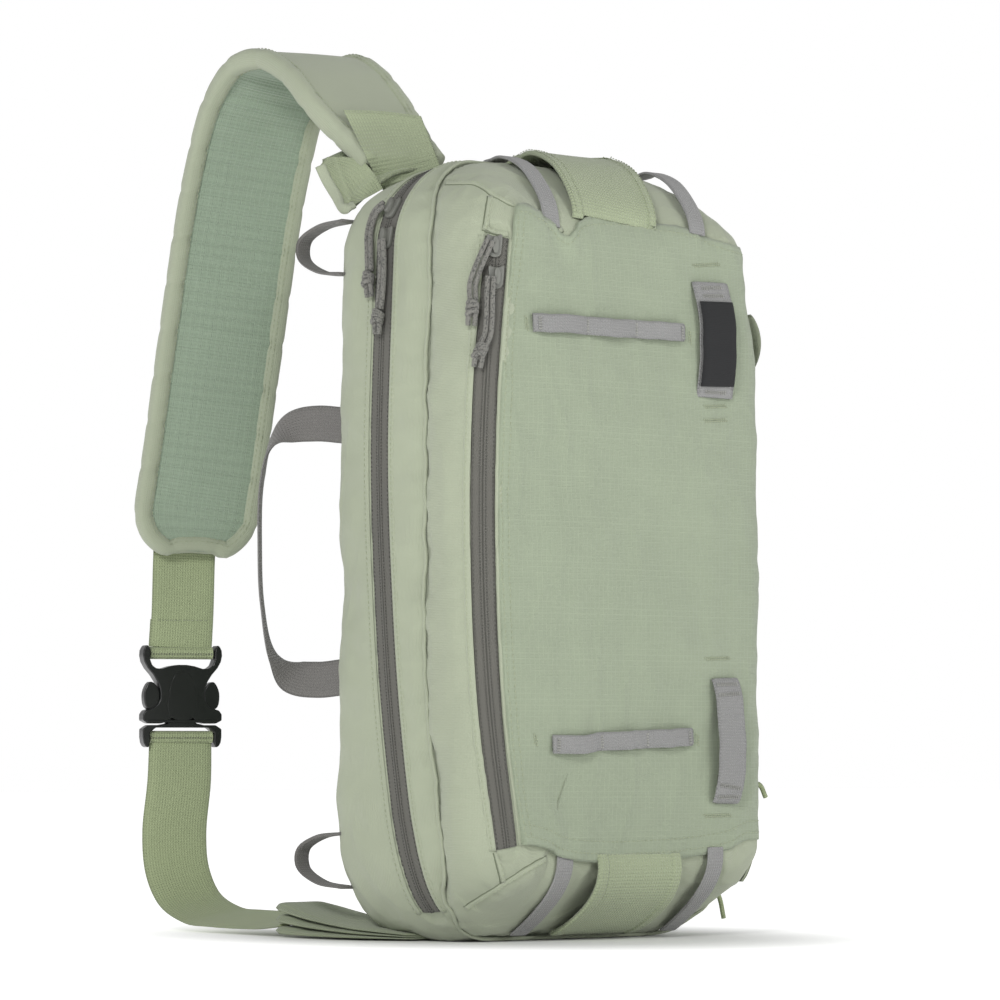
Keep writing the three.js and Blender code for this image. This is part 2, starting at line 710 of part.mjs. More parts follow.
// Webbing sewn down at its ends and between its arches, which stand off by a height.
function archedWebbing(from, to, arches, height, width, wide) {
  const steps = arches * ARCH_STEPS;
  const rows = [];
  for (let i = 0; i <= steps; i += 1) {
    const t = i / steps;
    const lift = height * arch(t * arches);
    const x = THREE.MathUtils.lerp(from[0], to[0], t) * WIDTH;
    const z = THREE.MathUtils.lerp(from[1], to[1], t) * HEIGHT;
    rows.push({ point: onFront(x, z, lift), wide });
  }
  return seat(webbing(rows, width, steps));
}

const ARCH_STEPS = 6;
const ARCH_POWER = 0.7;
const DAISY_ARCH = 3;
const TAB_ARCH = 6.5;
const LABEL_ARCH = 2.5;
const DAISIES = [
  { name: "daisy_upper", from: [-0.3, 0.772], to: [0.17, 0.782] },
  { name: "daisy_lower", from: [-0.272, 0.25], to: [0.192, 0.26] },
];
const TAB_UPPER = { name: "tab_upper", from: [0.295, 0.7], to: [0.288, 0.845], height: LABEL_ARCH };
const TAB_LOWER = { name: "tab_lower", from: [0.303, 0.175], to: [0.303, 0.335], height: TAB_ARCH };
const LABEL_SHARE = [0.12, 0.83];

function labelPatch() {
  const rows = [];
  for (let i = 0; i <= ARCH_STEPS; i += 1) {
    const t = THREE.MathUtils.lerp(LABEL_SHARE[0], LABEL_SHARE[1], i / ARCH_STEPS);
    const x = THREE.MathUtils.lerp(TAB_UPPER.from[0], TAB_UPPER.to[0], t) * WIDTH;
    const z = THREE.MathUtils.lerp(TAB_UPPER.from[1], TAB_UPPER.to[1], t) * HEIGHT;
    const rise = LABEL_ARCH * arch(t) + WEBBING_THICKNESS / 2 + LABEL_THICKNESS / 2 + GAP;
    rows.push({ point: onFront(x, z, rise), wide: AXIS_X });
  }
  return webbing(rows, LABEL_WIDTH, ARCH_STEPS, LABEL_THICKNESS);
}

// Webbing over the top and bottom caps, from the front panel's edge to a row of PROFILE.
function overCap({ x, last, edge, height, width }) {
  const names = PROFILE.map((row) => row.name);
  const rows = PROFILE.slice(names.indexOf(last)).reverse();
  const top = edge === "top";
  const line = rows.map((row) => {
    const z = top ? HEIGHT - row.inTop * ROUND_TOP : row.inBottom * ROUND_BOTTOM;
    return new THREE.Vector3(x * WIDTH, depth(row[edge]), z);
  });
  const curve = new THREE.CatmullRomCurve3(line, false, "centripetal");
  const path = [];
  for (let i = 0; i <= CAP_STEPS; i += 1) {
    const t = i / CAP_STEPS;
    const along = curve.getTangent(t);
    const out = new THREE.Vector3(0, -along.z, along.y).multiplyScalar(top ? 1 : -1);
    const rise = GAP + WEBBING_THICKNESS / 2 + height * arch(t);
    path.push({ point: curve.getPoint(t).addScaledVector(out, rise), wide: AXIS_X });
  }
  return seat(webbing(path, width, CAP_STEPS)).subtract(belowFloor());
}

function belowFloor() {
  const side = WIDTH * 2;
  const square = [[-side, -side], [side, -side], [side, GAP], [-side, GAP]];
  return prism(square, AXIS_Y, AXIS_Z, -side, side * 2);
}

const CAP_STEPS = 11;
const HANDLE_ARCH = 7;
const LOOP_ARCH = 3;
const HANDLE = { height: HANDLE_ARCH, width: CARRY_WIDTH };
const LOOP = { height: LOOP_ARCH, width: LOOP_WIDTH };
const CAP_PIECES = [
  { name: "top_handle", x: 0.047, last: "gusset_mid", edge: "top", ...HANDLE },
  { name: "top_loop_left", x: -0.195, last: "gusset_front", edge: "top", ...LOOP },
  { name: "top_loop_right", x: 0.3, last: "gusset_front", edge: "top", ...LOOP },
  { name: "bottom_handle", x: 0.03, last: "front_gusset", edge: "bottom", ...HANDLE },
  { name: "bottom_loop_left", x: -0.213, last: "front_gusset", edge: "bottom", ...LOOP },
  { name: "bottom_loop_right", x: 0.29, last: "front_gusset", edge: "bottom", ...LOOP },
];

// Back panel: a padded plate behind the body, from the body's outline moved inwards.
const BACK_PANEL_ROWS = [
  { out: 0, inset: 1 },
  { out: 0.55, inset: 1 },
  { out: 0.9, inset: 1.2 },
  { out: 1, inset: 1.6 },
];

function backPanel() {
  const sections = BACK_PANEL_ROWS.map(({ out, inset }) => outline().map((spot) => {
    const margin = inset * BACK_PANEL_MARGIN;
    const z = spot.z - spot.outZ * margin;
    const x = (spot.x - spot.outX * margin) * taper(z);
    return new THREE.Vector3(x, BACK_DEPTH + GAP + out * BACK_PANEL_THICKNESS, z);
  }));
  return loftSolid(sections);
}

// Details on the surface

const bodyMaterial = new THREE.MeshStandardMaterial({ side: THREE.DoubleSide });
const bodyMesh = new THREE.Mesh(geometryOf(body), bodyMaterial);

// The point and the outward direction of the body's surface that a ray from outside meets.
function surface(from, toward) {
  const hit = new THREE.Raycaster(from, toward).intersectObject(bodyMesh)[0];
  return { point: hit.point, out: hit.face.normal.clone() };
}

function onRight(back, up) {
  return surface(new THREE.Vector3(WIDTH, depth(back), up * HEIGHT), new THREE.Vector3(-1, 0, 0));
}

function onLeft(back, up) {
  return surface(new THREE.Vector3(-WIDTH, depth(back), up * HEIGHT), new THREE.Vector3(1, 0, 0));
}

function onCorner(across, up) {
  const from = CORNER_ACROSS.clone().multiplyScalar(across * WIDTH).addScaledVector(CORNER_OUT, WIDTH);
  return surface(from.setZ(up * HEIGHT), CORNER_OUT.clone().negate());
}

// A closed sheet between two grids of points of the same size.
function sheetSolid(inner, outer) {
  const rows = inner.length;
  const columns = inner[0].length;
  const size = rows * columns;
  const triangles = [];
  const quad = (a, b, c, d) => triangles.push([a, b, c], [a, c, d]);
  for (let r = 0; r + 1 < rows; r += 1) {
    for (let c = 0; c + 1 < columns; c += 1) {
      const a = r * columns + c;
      quad(a, a + 1, a + columns + 1, a + columns);
      quad(size + a, size + a + columns, size + a + columns + 1, size + a + 1);
    }
  }
  for (let r = 0; r + 1 < rows; r += 1) {
    const a = r * columns;
    const b = a + columns - 1;
    quad(a, a + columns, size + a + columns, size + a);
    quad(b, size + b, size + b + columns, b + columns);
  }
  for (let c = 0; c + 1 < columns; c += 1) {
    const d = (rows - 1) * columns + c;
    quad(c, size + c, size + c + 1, c + 1);
    quad(d, d + 1, size + d + 1, size + d);
  }
  const points = [...inner.flat(), ...outer.flat()];
  const solid = solidOf(indexed(points, triangles));
  return solid.volume() < 0 ? solidOf(indexed(points, triangles.map((t) => t.reverse()))) : solid;
}

// A gathered pocket on the right gusset, open at its top edge.
function sidePocket() {
  const grid = (lift) => {
    const rows = [];
    for (let r = 0; r <= POCKET_ROWS; r += 1) {
      const v = r / POCKET_ROWS;
      const row = [];
      for (let c = 0; c <= POCKET_COLUMNS; c += 1) {
        const u = c / POCKET_COLUMNS;
        const up = THREE.MathUtils.lerp(POCKET.low, POCKET.high, v);
        const { point, out } = onRight(THREE.MathUtils.lerp(POCKET.front, POCKET.back, u), up);
        const bulge = POCKET_BULGE * arch(u) * arch(POCKET_RISE.start + POCKET_RISE.span * v);
        out.setZ(0).normalize();
        row.push(point.addScaledVector(out, POCKET_SEAT + bulge + lift));
      }
      rows.push(row);
    }
    return rows;
  };
  return seat(sheetSolid(grid(0), grid(POCKET_CLOTH)));
}

// A short piece of webbing that arches on the right gusset.
function sideTab() {
  const { point, out } = onRight(SIDE_TAB.back, SIDE_TAB.up);
  const wide = new THREE.Vector3().crossVectors(AXIS_Z, out);
  const rows = [];
  for (let i = 0; i <= ARCH_STEPS; i += 1) {
    const t = i / ARCH_STEPS;
    const rise = GAP + WEBBING_THICKNESS / 2 + SIDE_TAB_ARCH * arch(t);
    const spot = point.clone().addScaledVector(out, rise);
    rows.push({ point: spot.addScaledVector(AXIS_Z, (t - 0.5) * SIDE_TAB_LENGTH), wide });
  }
  return seat(webbing(rows, LOOP_WIDTH, ARCH_STEPS));
}

// A tube along points, with an eight-sided section.
function tube(points, diameter, steps) {
  const section = new THREE.Shape();
  for (let i = 0; i < CORD_SIDES; i += 1) {
    const angle = (2 * Math.PI * i) / CORD_SIDES;
    const spot = [(Math.cos(angle) * diameter) / 2, (Math.sin(angle) * diameter) / 2];
    if (i) section.lineTo(...spot);
    else section.moveTo(...spot);
  }
  const extrudePath = new THREE.CatmullRomCurve3(points, false, "centripetal");
  return solidOf(new THREE.ExtrudeGeometry(section, { steps, extrudePath, bevelEnabled: false }));
}

// Zipper pulls. Each cord hangs doubled from its slider to a knot with two tails. The points
// are the middle line of the doubled cord, in millimetres, from the slider's eye to the knot.
const CORNER_SIGHT = [-0.65, -0.76, 0];
const PULLS = [
  {
    name: "front_pull_upper",
    slider: onCorner(-0.147, 0.874),
    out: CORNER_SIGHT,
    points: [
      [-101, -59.5, 376.5], [-103.5, -57.5, 369.5], [-106.5, -55.5, 361], [-108, -53, 352],
      [-108.5, -54, 344],
    ],
    knot: [-109.2, -54.2, 339.4],
    tail: [-108.5, -52.6, 330.5],
  },
  {
    name: "front_pull_lower",
    slider: onCorner(-0.143, 0.8345),
    out: CORNER_SIGHT,
    points: [
      [-101.5, -60.5, 357], [-101.8, -60, 347.5], [-101.8, -59.5, 334], [-102.5, -59, 325.5],
      [-104.5, -58, 320.5],
    ],
    knot: [-106.6, -57.6, 316.4],
    tail: [-107, -55.6, 308],
  },
  {
    name: "main_pull_upper",
    slider: onLeft(0.3, 0.935),
    out: [-0.9, 0, 0.4],
    points: [
      [-108, 20, 402], [-109, 26, 398], [-112, 27.5, 387.5], [-113.5, 26, 376.5], [-114, 25, 365],
    ],
    knot: [-115, 25, 360.4],
    tail: [-114.4, 24.5, 351],
  },
  {
    name: "main_pull_lower",
    slider: onLeft(0.27, 0.896),
    out: [-1, 0, 0],
    points: [
      [-114, 15, 382], [-113.8, 14.5, 372], [-114, 14.5, 360], [-114.5, 15, 350], [-115.2, 15.5, 343.5],
    ],
    knot: [-116, 15.9, 338.9],
    tail: [-115.6, 16.6, 330],
  },
];

function strandPoints(pull, side) {
  const middle = pull.points.map((p) => new THREE.Vector3(...p));
  return middle.map((p, i) => {
    const along = middle[Math.min(i + 1, middle.length - 1)].clone().sub(middle[Math.max(i - 1, 0)]);
    const beside = along.cross(new THREE.Vector3(...pull.out)).normalize();
    return p.clone().addScaledVector(beside, (side * (CORD_DIAMETER + GAP)) / 2);
  });
}

function strand(pull, side, grow) {
  return tube(strandPoints(pull, side), CORD_DIAMETER + 2 * grow, STRAND_STEPS);
}

const TAIL_SPREAD = 1.7;
const TAIL_START = 0.6;

// A knot with two short tails below it.
function knot(pull) {
  const middle = new THREE.Vector3(...pull.knot);
  const end = new THREE.Vector3(...pull.tail);
  const last = new THREE.Vector3(...pull.points[pull.points.length - 1]);
  const half = middle.distanceTo(last) - GAP;
  const ball = new THREE.SphereGeometry(1, CORD_SIDES, CORD_SIDES - 2);
  ball.scale(KNOT_DIAMETER / 2, half, KNOT_DIAMETER / 2);
  const upward = last.clone().sub(middle).normalize();
  ball.applyQuaternion(new THREE.Quaternion().setFromUnitVectors(AXIS_Y, upward));
  ball.translate(middle.x, middle.y, middle.z);
  const beside = end.clone().sub(middle).cross(new THREE.Vector3(...pull.out)).normalize();
  return [1, -1].reduce((solid, side) => {
    const shift = beside.clone().multiplyScalar(side * TAIL_SPREAD);
    const from = middle.clone().addScaledVector(shift, TAIL_START);
    return solid.add(tube([from, end.clone().add(shift)], CORD_DIAMETER, 2));
  }, solidOf(ball));
}

// A slider: a plate on the zipper with a block that holds the cord.
function slider(pull) {
  const { point, out } = pull.slider;
  const along = AXIS_Z.clone().addScaledVector(out, -out.z).normalize();
  const across = new THREE.Vector3().crossVectors(along, out);
  const block = (length, width, low, high) => {
    const box = new THREE.BoxGeometry(width, length, high - low);
    box.translate(0, 0, (low + high) / 2);
    box.applyMatrix4(new THREE.Matrix4().makeBasis(across, along, out).setPosition(point));
    return solidOf(box);
  };
  const plate = block(SLIDER_LENGTH, SLIDER_WIDTH, GAP, SLIDER_THICKNESS / 2);
  const holder = block(HOLDER_LENGTH, HOLDER_WIDTH, SLIDER_THICKNESS / 2 - GAP, HOLDER_THICKNESS);
  const room = strand(pull, 1, GAP).add(strand(pull, -1, GAP));
  return plate.add(holder).subtract(clearOfBody).subtract(room);
}

// The ends of an elastic cord that gathers the pocket.
const POCKET_CORDS = [
  { name: "pocket_cord_upper", back: -0.72, up: 0.2, drop: 0.02 },
  { name: "pocket_cord_lower", back: -0.3, up: 0.062, drop: 0.03 },
];

const POCKET_CORD_BEND = [
  { reach: 0.1, fall: 0 },
  { reach: 0.6, fall: 0.2 },
  { reach: 1, fall: 1 },
];

function pocketCord({ back, up, drop }) {
  const { point, out } = onRight(back, up);
  const path = POCKET_CORD_BEND.map(({ reach, fall }) => point.clone()
    .addScaledVector(out, reach * POCKET_CORD_REACH)
    .addScaledVector(AXIS_Z, -fall * drop * HEIGHT));
  return seat(tube(path, CORD_DIAMETER, POCKET_ROWS));
}

const group = new THREE.Group();

function add(name, solid, color, roughness = 0.85, metalness = 0) {
  const material = new THREE.MeshStandardMaterial({ color, roughness, metalness });
  const mesh = new THREE.Mesh(geometryOf(solid), material);
  mesh.name = name;
  group.add(mesh);
}

const lowerWebbing = buckleWebbing(LOWER_WEBBING_PATH, BOTTOM_BAR, 24);
const upperWebbing = buckleWebbing(UPPER_WEBBING_PATH, TOP_BAR, 8).subtract(clearOfStrap);

add("main_compartment", mainCompartment(), FABRIC);
add("front_compartment", frontCompartment(), FRONT_FABRIC);
add("back_panel", backPanel(), MESH_CLOTH);
add("main_zipper", zipperTape(mainStrip(GAP)), WEBBING_GREY);
add("front_zipper", zipperTape(frontStrip(GAP)), WEBBING_GREY);
add("shoulder_strap", seat(strapSolid(0)), FABRIC);
add("strap_anchor_webbing", anchorWebbing(), TEXTURED);
add("strap_wing_top", wingTop(), TEXTURED);
add("strap_lash_webbing", lashWebbing(), WEBBING_GREY);
add("upper_webbing", upperWebbing, WEBBING_GREEN);
add("buckle_socket", buckleSocket(), BLACK, 0.45);
add("buckle_prong", buckleProng(), BLACK, 0.45);
add("lower_webbing", lowerWebbing, WEBBING_GREEN);
add("strap_wing_bottom", wingBottom(lowerWebbing), TEXTURED);
add("side_handle", seamWebbing(SIDE_HANDLE_PATH, HANDLE_WIDTH, 24), WEBBING_GREY);
add("back_loop_upper", seamWebbing(backLoopPath(0.888), LOOP_WIDTH, 12), WEBBING_GREY);
add("back_loop_lower", seamWebbing(backLoopPath(0.1), LOOP_WIDTH, 12), WEBBING_GREY);
DAISIES.forEach(({ name, from, to }) => {
  add(name, archedWebbing(from, to, 3, DAISY_ARCH, DAISY_WIDTH, AXIS_Z), WEBBING_GREY);
});
[TAB_UPPER, TAB_LOWER].forEach(({ name, from, to, height }) => {
  add(name, archedWebbing(from, to, 1, height, TAB_WIDTH, AXIS_X), WEBBING_GREY);
});
add("label_patch", labelPatch(), BLACK);
CAP_PIECES.forEach((piece) => {
  add(piece.name, overCap(piece), piece.width === CARRY_WIDTH ? TEXTURED : WEBBING_GREY);
});
add("side_pocket", sidePocket(), FABRIC);
add("side_tab", sideTab(), WEBBING_GREY);
POCKET_CORDS.forEach((cord) => add(cord.name, pocketCord(cord), WEBBING_GREEN));
PULLS.forEach((pull) => {
  add(`${pull.name}_slider`, slider(pull), WEBBING_GREY, 0.5, 0.4);
  add(`${pull.name}_cord_a`, strand(pull, 1, 0), WEBBING_GREY);
  add(`${pull.name}_cord_b`, strand(pull, -1, 0), WEBBING_GREY);
  add(`${pull.name}_knot`, knot(pull), WEBBING_GREY);
});

export default group;
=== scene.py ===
import math

import bpy
import numpy as np
from mathutils import Matrix, Vector, noise
from mathutils.bvhtree import BVHTree


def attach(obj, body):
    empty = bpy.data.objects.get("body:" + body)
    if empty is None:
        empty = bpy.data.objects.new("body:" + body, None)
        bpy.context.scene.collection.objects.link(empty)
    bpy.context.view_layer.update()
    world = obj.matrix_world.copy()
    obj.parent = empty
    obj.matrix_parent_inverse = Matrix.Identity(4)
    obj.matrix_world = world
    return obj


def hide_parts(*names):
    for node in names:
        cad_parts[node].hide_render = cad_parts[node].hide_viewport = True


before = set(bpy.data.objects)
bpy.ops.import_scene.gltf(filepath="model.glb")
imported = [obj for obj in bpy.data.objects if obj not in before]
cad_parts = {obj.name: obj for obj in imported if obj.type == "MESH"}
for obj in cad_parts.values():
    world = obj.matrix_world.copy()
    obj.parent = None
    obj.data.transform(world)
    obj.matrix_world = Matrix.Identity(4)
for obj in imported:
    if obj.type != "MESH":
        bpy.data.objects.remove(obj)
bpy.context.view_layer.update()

# Fishing sling bag in cloth, webbing and plastic, dressed over its solids.
# Sizes are millimetres until a mesh is made, which is in metres.
MM = 0.001

# Driving sizes, as in the part's source
HEIGHT, WIDTH = 428.0, 225.0
FRONT_DEPTH, BACK_DEPTH = 61.0, 60.0
CORNER_TOP, CORNER_BOTTOM = 50.0, 52.0
ROUND_SIDE, ROUND_TOP, ROUND_BOTTOM = 26.0, 42.0, 51.0
CROWN, SAG = 4.0, 14.0
SAG_TOP, SAG_SPAN = 0.35, 0.26
TOP_TAPER, TAPER_START = 0.045, 0.62
GAP = 0.3
STRAP_WIDTH, STRAP_THICKNESS, STRAP_REACH = 74.0, 11.0, 190.0
STRAP_END_ROUND = 24.0
WEBBING = 1.8

# The camera stands 42 degrees to the left of the front, level with the lower part of the bag.
TURN = math.radians(42)
LENS_PIXELS = 4780.0
HORIZON_ROW = 757.0
CAMERA_BACK, CAMERA_UP, CAMERA_LEFT = 2660.0, 100.0, 30.05
IMAGE_HALF = 500.0
SENSOR = 36.0


def unit(v):
    v = np.asarray(v, float)
    return v / np.maximum(np.linalg.norm(v, axis=-1, keepdims=True), 1e-9)


def smooth(t):
    s = np.clip(t, 0.0, 1.0)
    return s * s * (3 - 2 * s)


# Camera

LEVEL = np.array([math.sin(TURN), math.cos(TURN), 0.0])
RIGHT = np.array([math.cos(TURN), -math.sin(TURN), 0.0])
PITCH = math.atan((HORIZON_ROW - IMAGE_HALF) / LENS_PIXELS)
AHEAD = LEVEL * math.cos(PITCH) + np.array([0, 0, math.sin(PITCH)])
ABOVE = np.cross(RIGHT, AHEAD)
EYE = -LEVEL * CAMERA_BACK + np.array([0, 0, CAMERA_UP]) - RIGHT * CAMERA_LEFT


def make_camera():
    data = bpy.data.cameras.new("camera")
    data.sensor_width = SENSOR
    data.lens = LENS_PIXELS / (2 * IMAGE_HALF) * SENSOR
    data.clip_end = 100
    camera = bpy.data.objects.new("camera", data)
    turned = Matrix((RIGHT, ABOVE, -AHEAD)).transposed().to_4x4()
    camera.matrix_world = Matrix.Translation(Vector(EYE * MM)) @ turned
    bpy.context.collection.objects.link(camera)
    bpy.context.scene.camera = camera


make_camera()


def sight(column, row):
    """The direction from the camera through a pixel of the photograph."""
    return unit(AHEAD * LENS_PIXELS + RIGHT * (column - IMAGE_HALF) + ABOVE * (IMAGE_HALF - row))


# Curves and meshes

def spline_at(points, t):
    """Centripetal curve through points, at parameters counted in its points."""
    p = np.asarray(points, float)
    p = np.concatenate([2 * p[:1] - p[1:2], p, 2 * p[-1:] - p[-2:-1]])
    i = np.clip(np.floor(t).astype(int), 0, len(p) - 4)
    t = (t - i)[(...,) + (None,) * (p.ndim - 1)]
    a, b, c, d = p[i], p[i + 1], p[i + 2], p[i + 3]

    def gap(q, r):
        return np.maximum(np.linalg.norm(r - q, axis=-1, keepdims=True), 1e-4) ** 0.5

    ab, bc, cd = gap(a, b), gap(b, c), gap(c, d)
    start = ((b - a) / ab - (c - a) / (ab + bc) + (c - b) / bc) * bc
    end = ((c - b) / bc - (d - b) / (bc + cd) + (d - c) / cd) * bc
    return b + start * t + (3 * (c - b) - 2 * start - end) * t**2 + (2 * (b - c) + start + end) * t**3


def spline(points, steps):
    return spline_at(points, np.linspace(0, len(points) - 1, steps + 1))


def length_along(points):
    p = np.asarray(points, float)
    return np.concatenate([[0], np.cumsum(np.linalg.norm(np.diff(p, axis=0), axis=1))])


def picked_at(at, s, points):
    """The values of a line at lengths along it."""
    return np.stack([np.interp(at, s, points[:, k]) for k in range(points.shape[1])], axis=-1)


def even(points, spacing):
    """The same line with points at an even spacing."""
    p = np.asarray(points, float)
    s = length_along(p)
    count = max(2, int(round(s[-1] / spacing)) + 1)
    return picked_at(np.linspace(0, s[-1], count), s, p)


def tangents(points):
    return unit(np.gradient(np.asarray(points, float), axis=0))


def mesh_object(name, points, faces, uvs=None, materials=(), face_slots=None):
    """A smooth-shaded mesh; points in millimetres, uvs one pair a vertex in metres."""
    mesh = bpy.data.meshes.new(name)
    mesh.from_pydata((np.asarray(points, float) * MM).tolist(), [], faces)
    mesh.polygons.foreach_set("use_smooth", [True] * len(mesh.polygons))
    if uvs is not None:
        layer = mesh.uv_layers.new(name="cloth")
        corners = np.empty(len(mesh.loops), int)
        mesh.loops.foreach_get("vertex_index", corners)
        layer.data.foreach_set("uv", np.asarray(uvs, float)[corners].ravel())
    for material in materials:
        mesh.materials.append(material)
    if face_slots is not None:
        mesh.polygons.foreach_set("material_index", face_slots)
    mesh.update()
    piece = bpy.data.objects.new(name, mesh)
    bpy.context.collection.objects.link(piece)
    return piece


def lattice(rows, columns, closed=False, capped=False):
    """Faces of a grid of points, row by row."""
    faces = []
    last = columns if closed else columns - 1
    for r in range(rows - 1):
        for c in range(last):
            a, b = r * columns + c, r * columns + (c + 1) % columns
            faces.append((a, b, b + columns, a + columns))
    if capped:
        faces.append(tuple(reversed(range(columns))))
        faces.append(tuple(range((rows - 1) * columns, rows * columns)))
    return faces


def join_parts(name, parts, materials):
    """One mesh from several (points, faces, uvs) parts; a part's index is its material."""
    points, faces, uvs, slots = [], [], [], []
    base = 0
    for p, f, uv, slot in parts:
        points.append(np.asarray(p, float))
        faces += [tuple(i + base for i in face) for face in f]
        uvs.append(np.zeros((len(p), 2)) if uv is None else np.asarray(uv, float))
        slots += [slot] * len(f)
        base += len(p)
    return mesh_object(name, np.concatenate(points), faces, np.concatenate(uvs), materials, slots)


def settle(piece, nodes):
    """The piece stands for CAD nodes, which it hides, and rides on the part."""
    if nodes:
        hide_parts(*nodes)
    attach(piece, "root")
    return piece


# Materials

def shader(name, colour, roughness, sheen=0.0, coat=0.0):
    material = bpy.data.materials.new(name)
    material.use_nodes = True
    nodes, links = material.node_tree.nodes, material.node_tree.links
    base = nodes["Principled BSDF"]
    base.inputs["Base Color"].default_value = (*colour, 1)
    base.inputs["Roughness"].default_value = roughness
    base.inputs["Sheen Weight"].default_value = sheen
    base.inputs["Sheen Roughness"].default_value = 0.5
    base.inputs["Coat Weight"].default_value = coat
    return material, nodes, links, base


def math_node(nodes, links, operation, first, second=None):
    node = nodes.new("ShaderNodeMath")
    node.operation = operation
    for socket, value in ((0, first), (1, second)):
        if value is None:
            continue
        if isinstance(value, (int, float)):
            node.inputs[socket].default_value = value
        else:
            links.new(value, node.inputs[socket])
    return node.outputs[0]


def noise_node(nodes, links, source, scale, detail=2):
    """Noise over the object, with its scale counted in a metre."""
    node = nodes.new("ShaderNodeTexNoise")
    node.inputs["Scale"].default_value = scale
    node.inputs["Detail"].default_value = detail
    links.new(source.outputs["Object"], node.inputs["Vector"])
    return node.outputs[0]


def mixed(nodes, links, factor, first, second, blend="MIX"):
    """Two colours mixed by a factor; the first is a colour or comes from a node."""
    node = nodes.new("ShaderNodeMix")
    node.data_type = "RGBA"
    node.blend_type = blend
    links.new(factor, node.inputs["Factor"])
    if isinstance(first, (list, tuple)):
        node.inputs["A"].default_value = (*first, 1)
    else:
        links.new(first, node.inputs["A"])
    node.inputs["B"].default_value = (*second, 1)
    return node.outputs["Result"]


def finish_surface(nodes, links, base, height, depth, distance, marks, lowest, highest):
    """Bump from a height, and roughness that changes with wear marks."""
    bump = nodes.new("ShaderNodeBump")
    bump.inputs["Strength"].default_value = depth
    bump.inputs["Distance"].default_value = distance * MM
    links.new(height, bump.inputs["Height"])
    links.new(bump.outputs[0], base.inputs["Normal"])
    worn = nodes.new("ShaderNodeMapRange")
    worn.inputs["To Min"].default_value = lowest
    worn.inputs["To Max"].default_value = highest
    links.new(marks, worn.inputs["Value"])
    links.new(worn.outputs[0], base.inputs["Roughness"])


def wave(nodes, links, coordinate, pitch):
    """A sine of a coordinate in metres with a pitch in millimetres, from 0 to 1."""
    turned = math_node(nodes, links, "MULTIPLY", coordinate, 2 * math.pi / (pitch * MM))
    wave_height = math_node(nodes, links, "MULTIPLY_ADD", math_node(nodes, links, "SINE", turned), 0.5)
    wave_height.node.inputs[2].default_value = 0.5
    return wave_height


# Noise scales, counted in a metre, and how strongly each layer of the cloth shows
FIBRE_SCALE, SHADE_SCALE, SPECK_SCALE = 900, 14, 1100
FIBRE_SHARE, GRID_SHARE, GRID_HEIGHT = 0.5, 0.6, 0.7
GRID_SHARPNESS, SPECK_CUT = 14.0, 0.57
RIB_STRETCH, RIB_SHARE = 1.6, 0.7
THREAD_SHADE, SHADE_TO_THREAD = 0.8, 4
CLOTH_RELIEF, CLOTH_WEAR = 0.4, 0.06
GRAIN_SCALE, HANDLING_SCALE, PLASTIC_RELIEF = 1500, 60, 0.2
PLASTIC_POLISH, PLASTIC_WEAR = 0.08, 0.1


def shaded(colour, share):
    return [min(1, c * (1 + share)) for c in colour]


def cloth(name, colour, weave, pitch=0.9, depth=0.25, roughness=0.85, sheen=0.15, shade=0.1,
          grid=None, grid_shade=0.12, uv=True, speck=None):
    """Woven cloth: threads with painted shade between them, slow shade changes, a ripstop grid and specks
    where asked for.
    """
    material, nodes, links, base = shader(name, colour, roughness, sheen)
    source = nodes.new("ShaderNodeTexCoord")
    split = nodes.new("ShaderNodeSeparateXYZ")
    links.new(source.outputs["UV" if uv else "Object"], split.inputs[0])
    across, along = split.outputs[0], split.outputs[1 if uv else 2]
    warp = wave(nodes, links, across, pitch)
    weft = wave(nodes, links, along, pitch * RIB_STRETCH if weave == "ribbed" else pitch)
    if weave == "ribbed":
        height = math_node(nodes, links, "MULTIPLY_ADD", weft, RIB_SHARE)
        links.new(math_node(nodes, links, "MULTIPLY", warp, 1 - RIB_SHARE), height.node.inputs[2])
    elif weave == "twill":
        height = wave(nodes, links, math_node(nodes, links, "ADD", across, along), pitch)
    else:
        height = math_node(nodes, links, "MULTIPLY", warp, weft)
    fibres = noise_node(nodes, links, source, FIBRE_SCALE, 3)
    relief = math_node(nodes, links, "MULTIPLY_ADD", fibres, FIBRE_SHARE)
    links.new(height, relief.node.inputs[2])
    slow = noise_node(nodes, links, source, SHADE_SCALE, 5)
    paint = mixed(nodes, links, slow, shaded(colour, -shade), shaded(colour, shade))
    # Where the weave is low the colour is multiplied by THREAD_SHADE: painted shade between the threads
    fade = math_node(nodes, links, "MULTIPLY_ADD", height, -shade * SHADE_TO_THREAD)
    fade.node.inputs[2].default_value = shade * SHADE_TO_THREAD
    fade.node.use_clamp = True
    paint = mixed(nodes, links, fade, paint, [THREAD_SHADE] * 3, "MULTIPLY")
    if grid:
        peaks = [math_node(nodes, links, "POWER", wave(nodes, links, coordinate, grid), GRID_SHARPNESS)
                 for coordinate in (across, along)]
        lines = math_node(nodes, links, "MAXIMUM", *peaks)
        share = math_node(nodes, links, "MULTIPLY", lines, GRID_SHARE)
        paint = mixed(nodes, links, share, paint, shaded(colour, grid_shade))
        raised = math_node(nodes, links, "MULTIPLY_ADD", lines, GRID_HEIGHT)
        links.new(relief, raised.node.inputs[2])
        relief = raised
    if speck:
        dots = noise_node(nodes, links, source, SPECK_SCALE, 1)
        paint = mixed(nodes, links, math_node(nodes, links, "GREATER_THAN", dots, SPECK_CUT), paint, speck)
    links.new(paint, base.inputs["Base Color"])
    finish_surface(nodes, links, base, relief, depth, CLOTH_RELIEF, slow, roughness - CLOTH_WEAR,
                   min(1, roughness + CLOTH_WEAR))
    return material


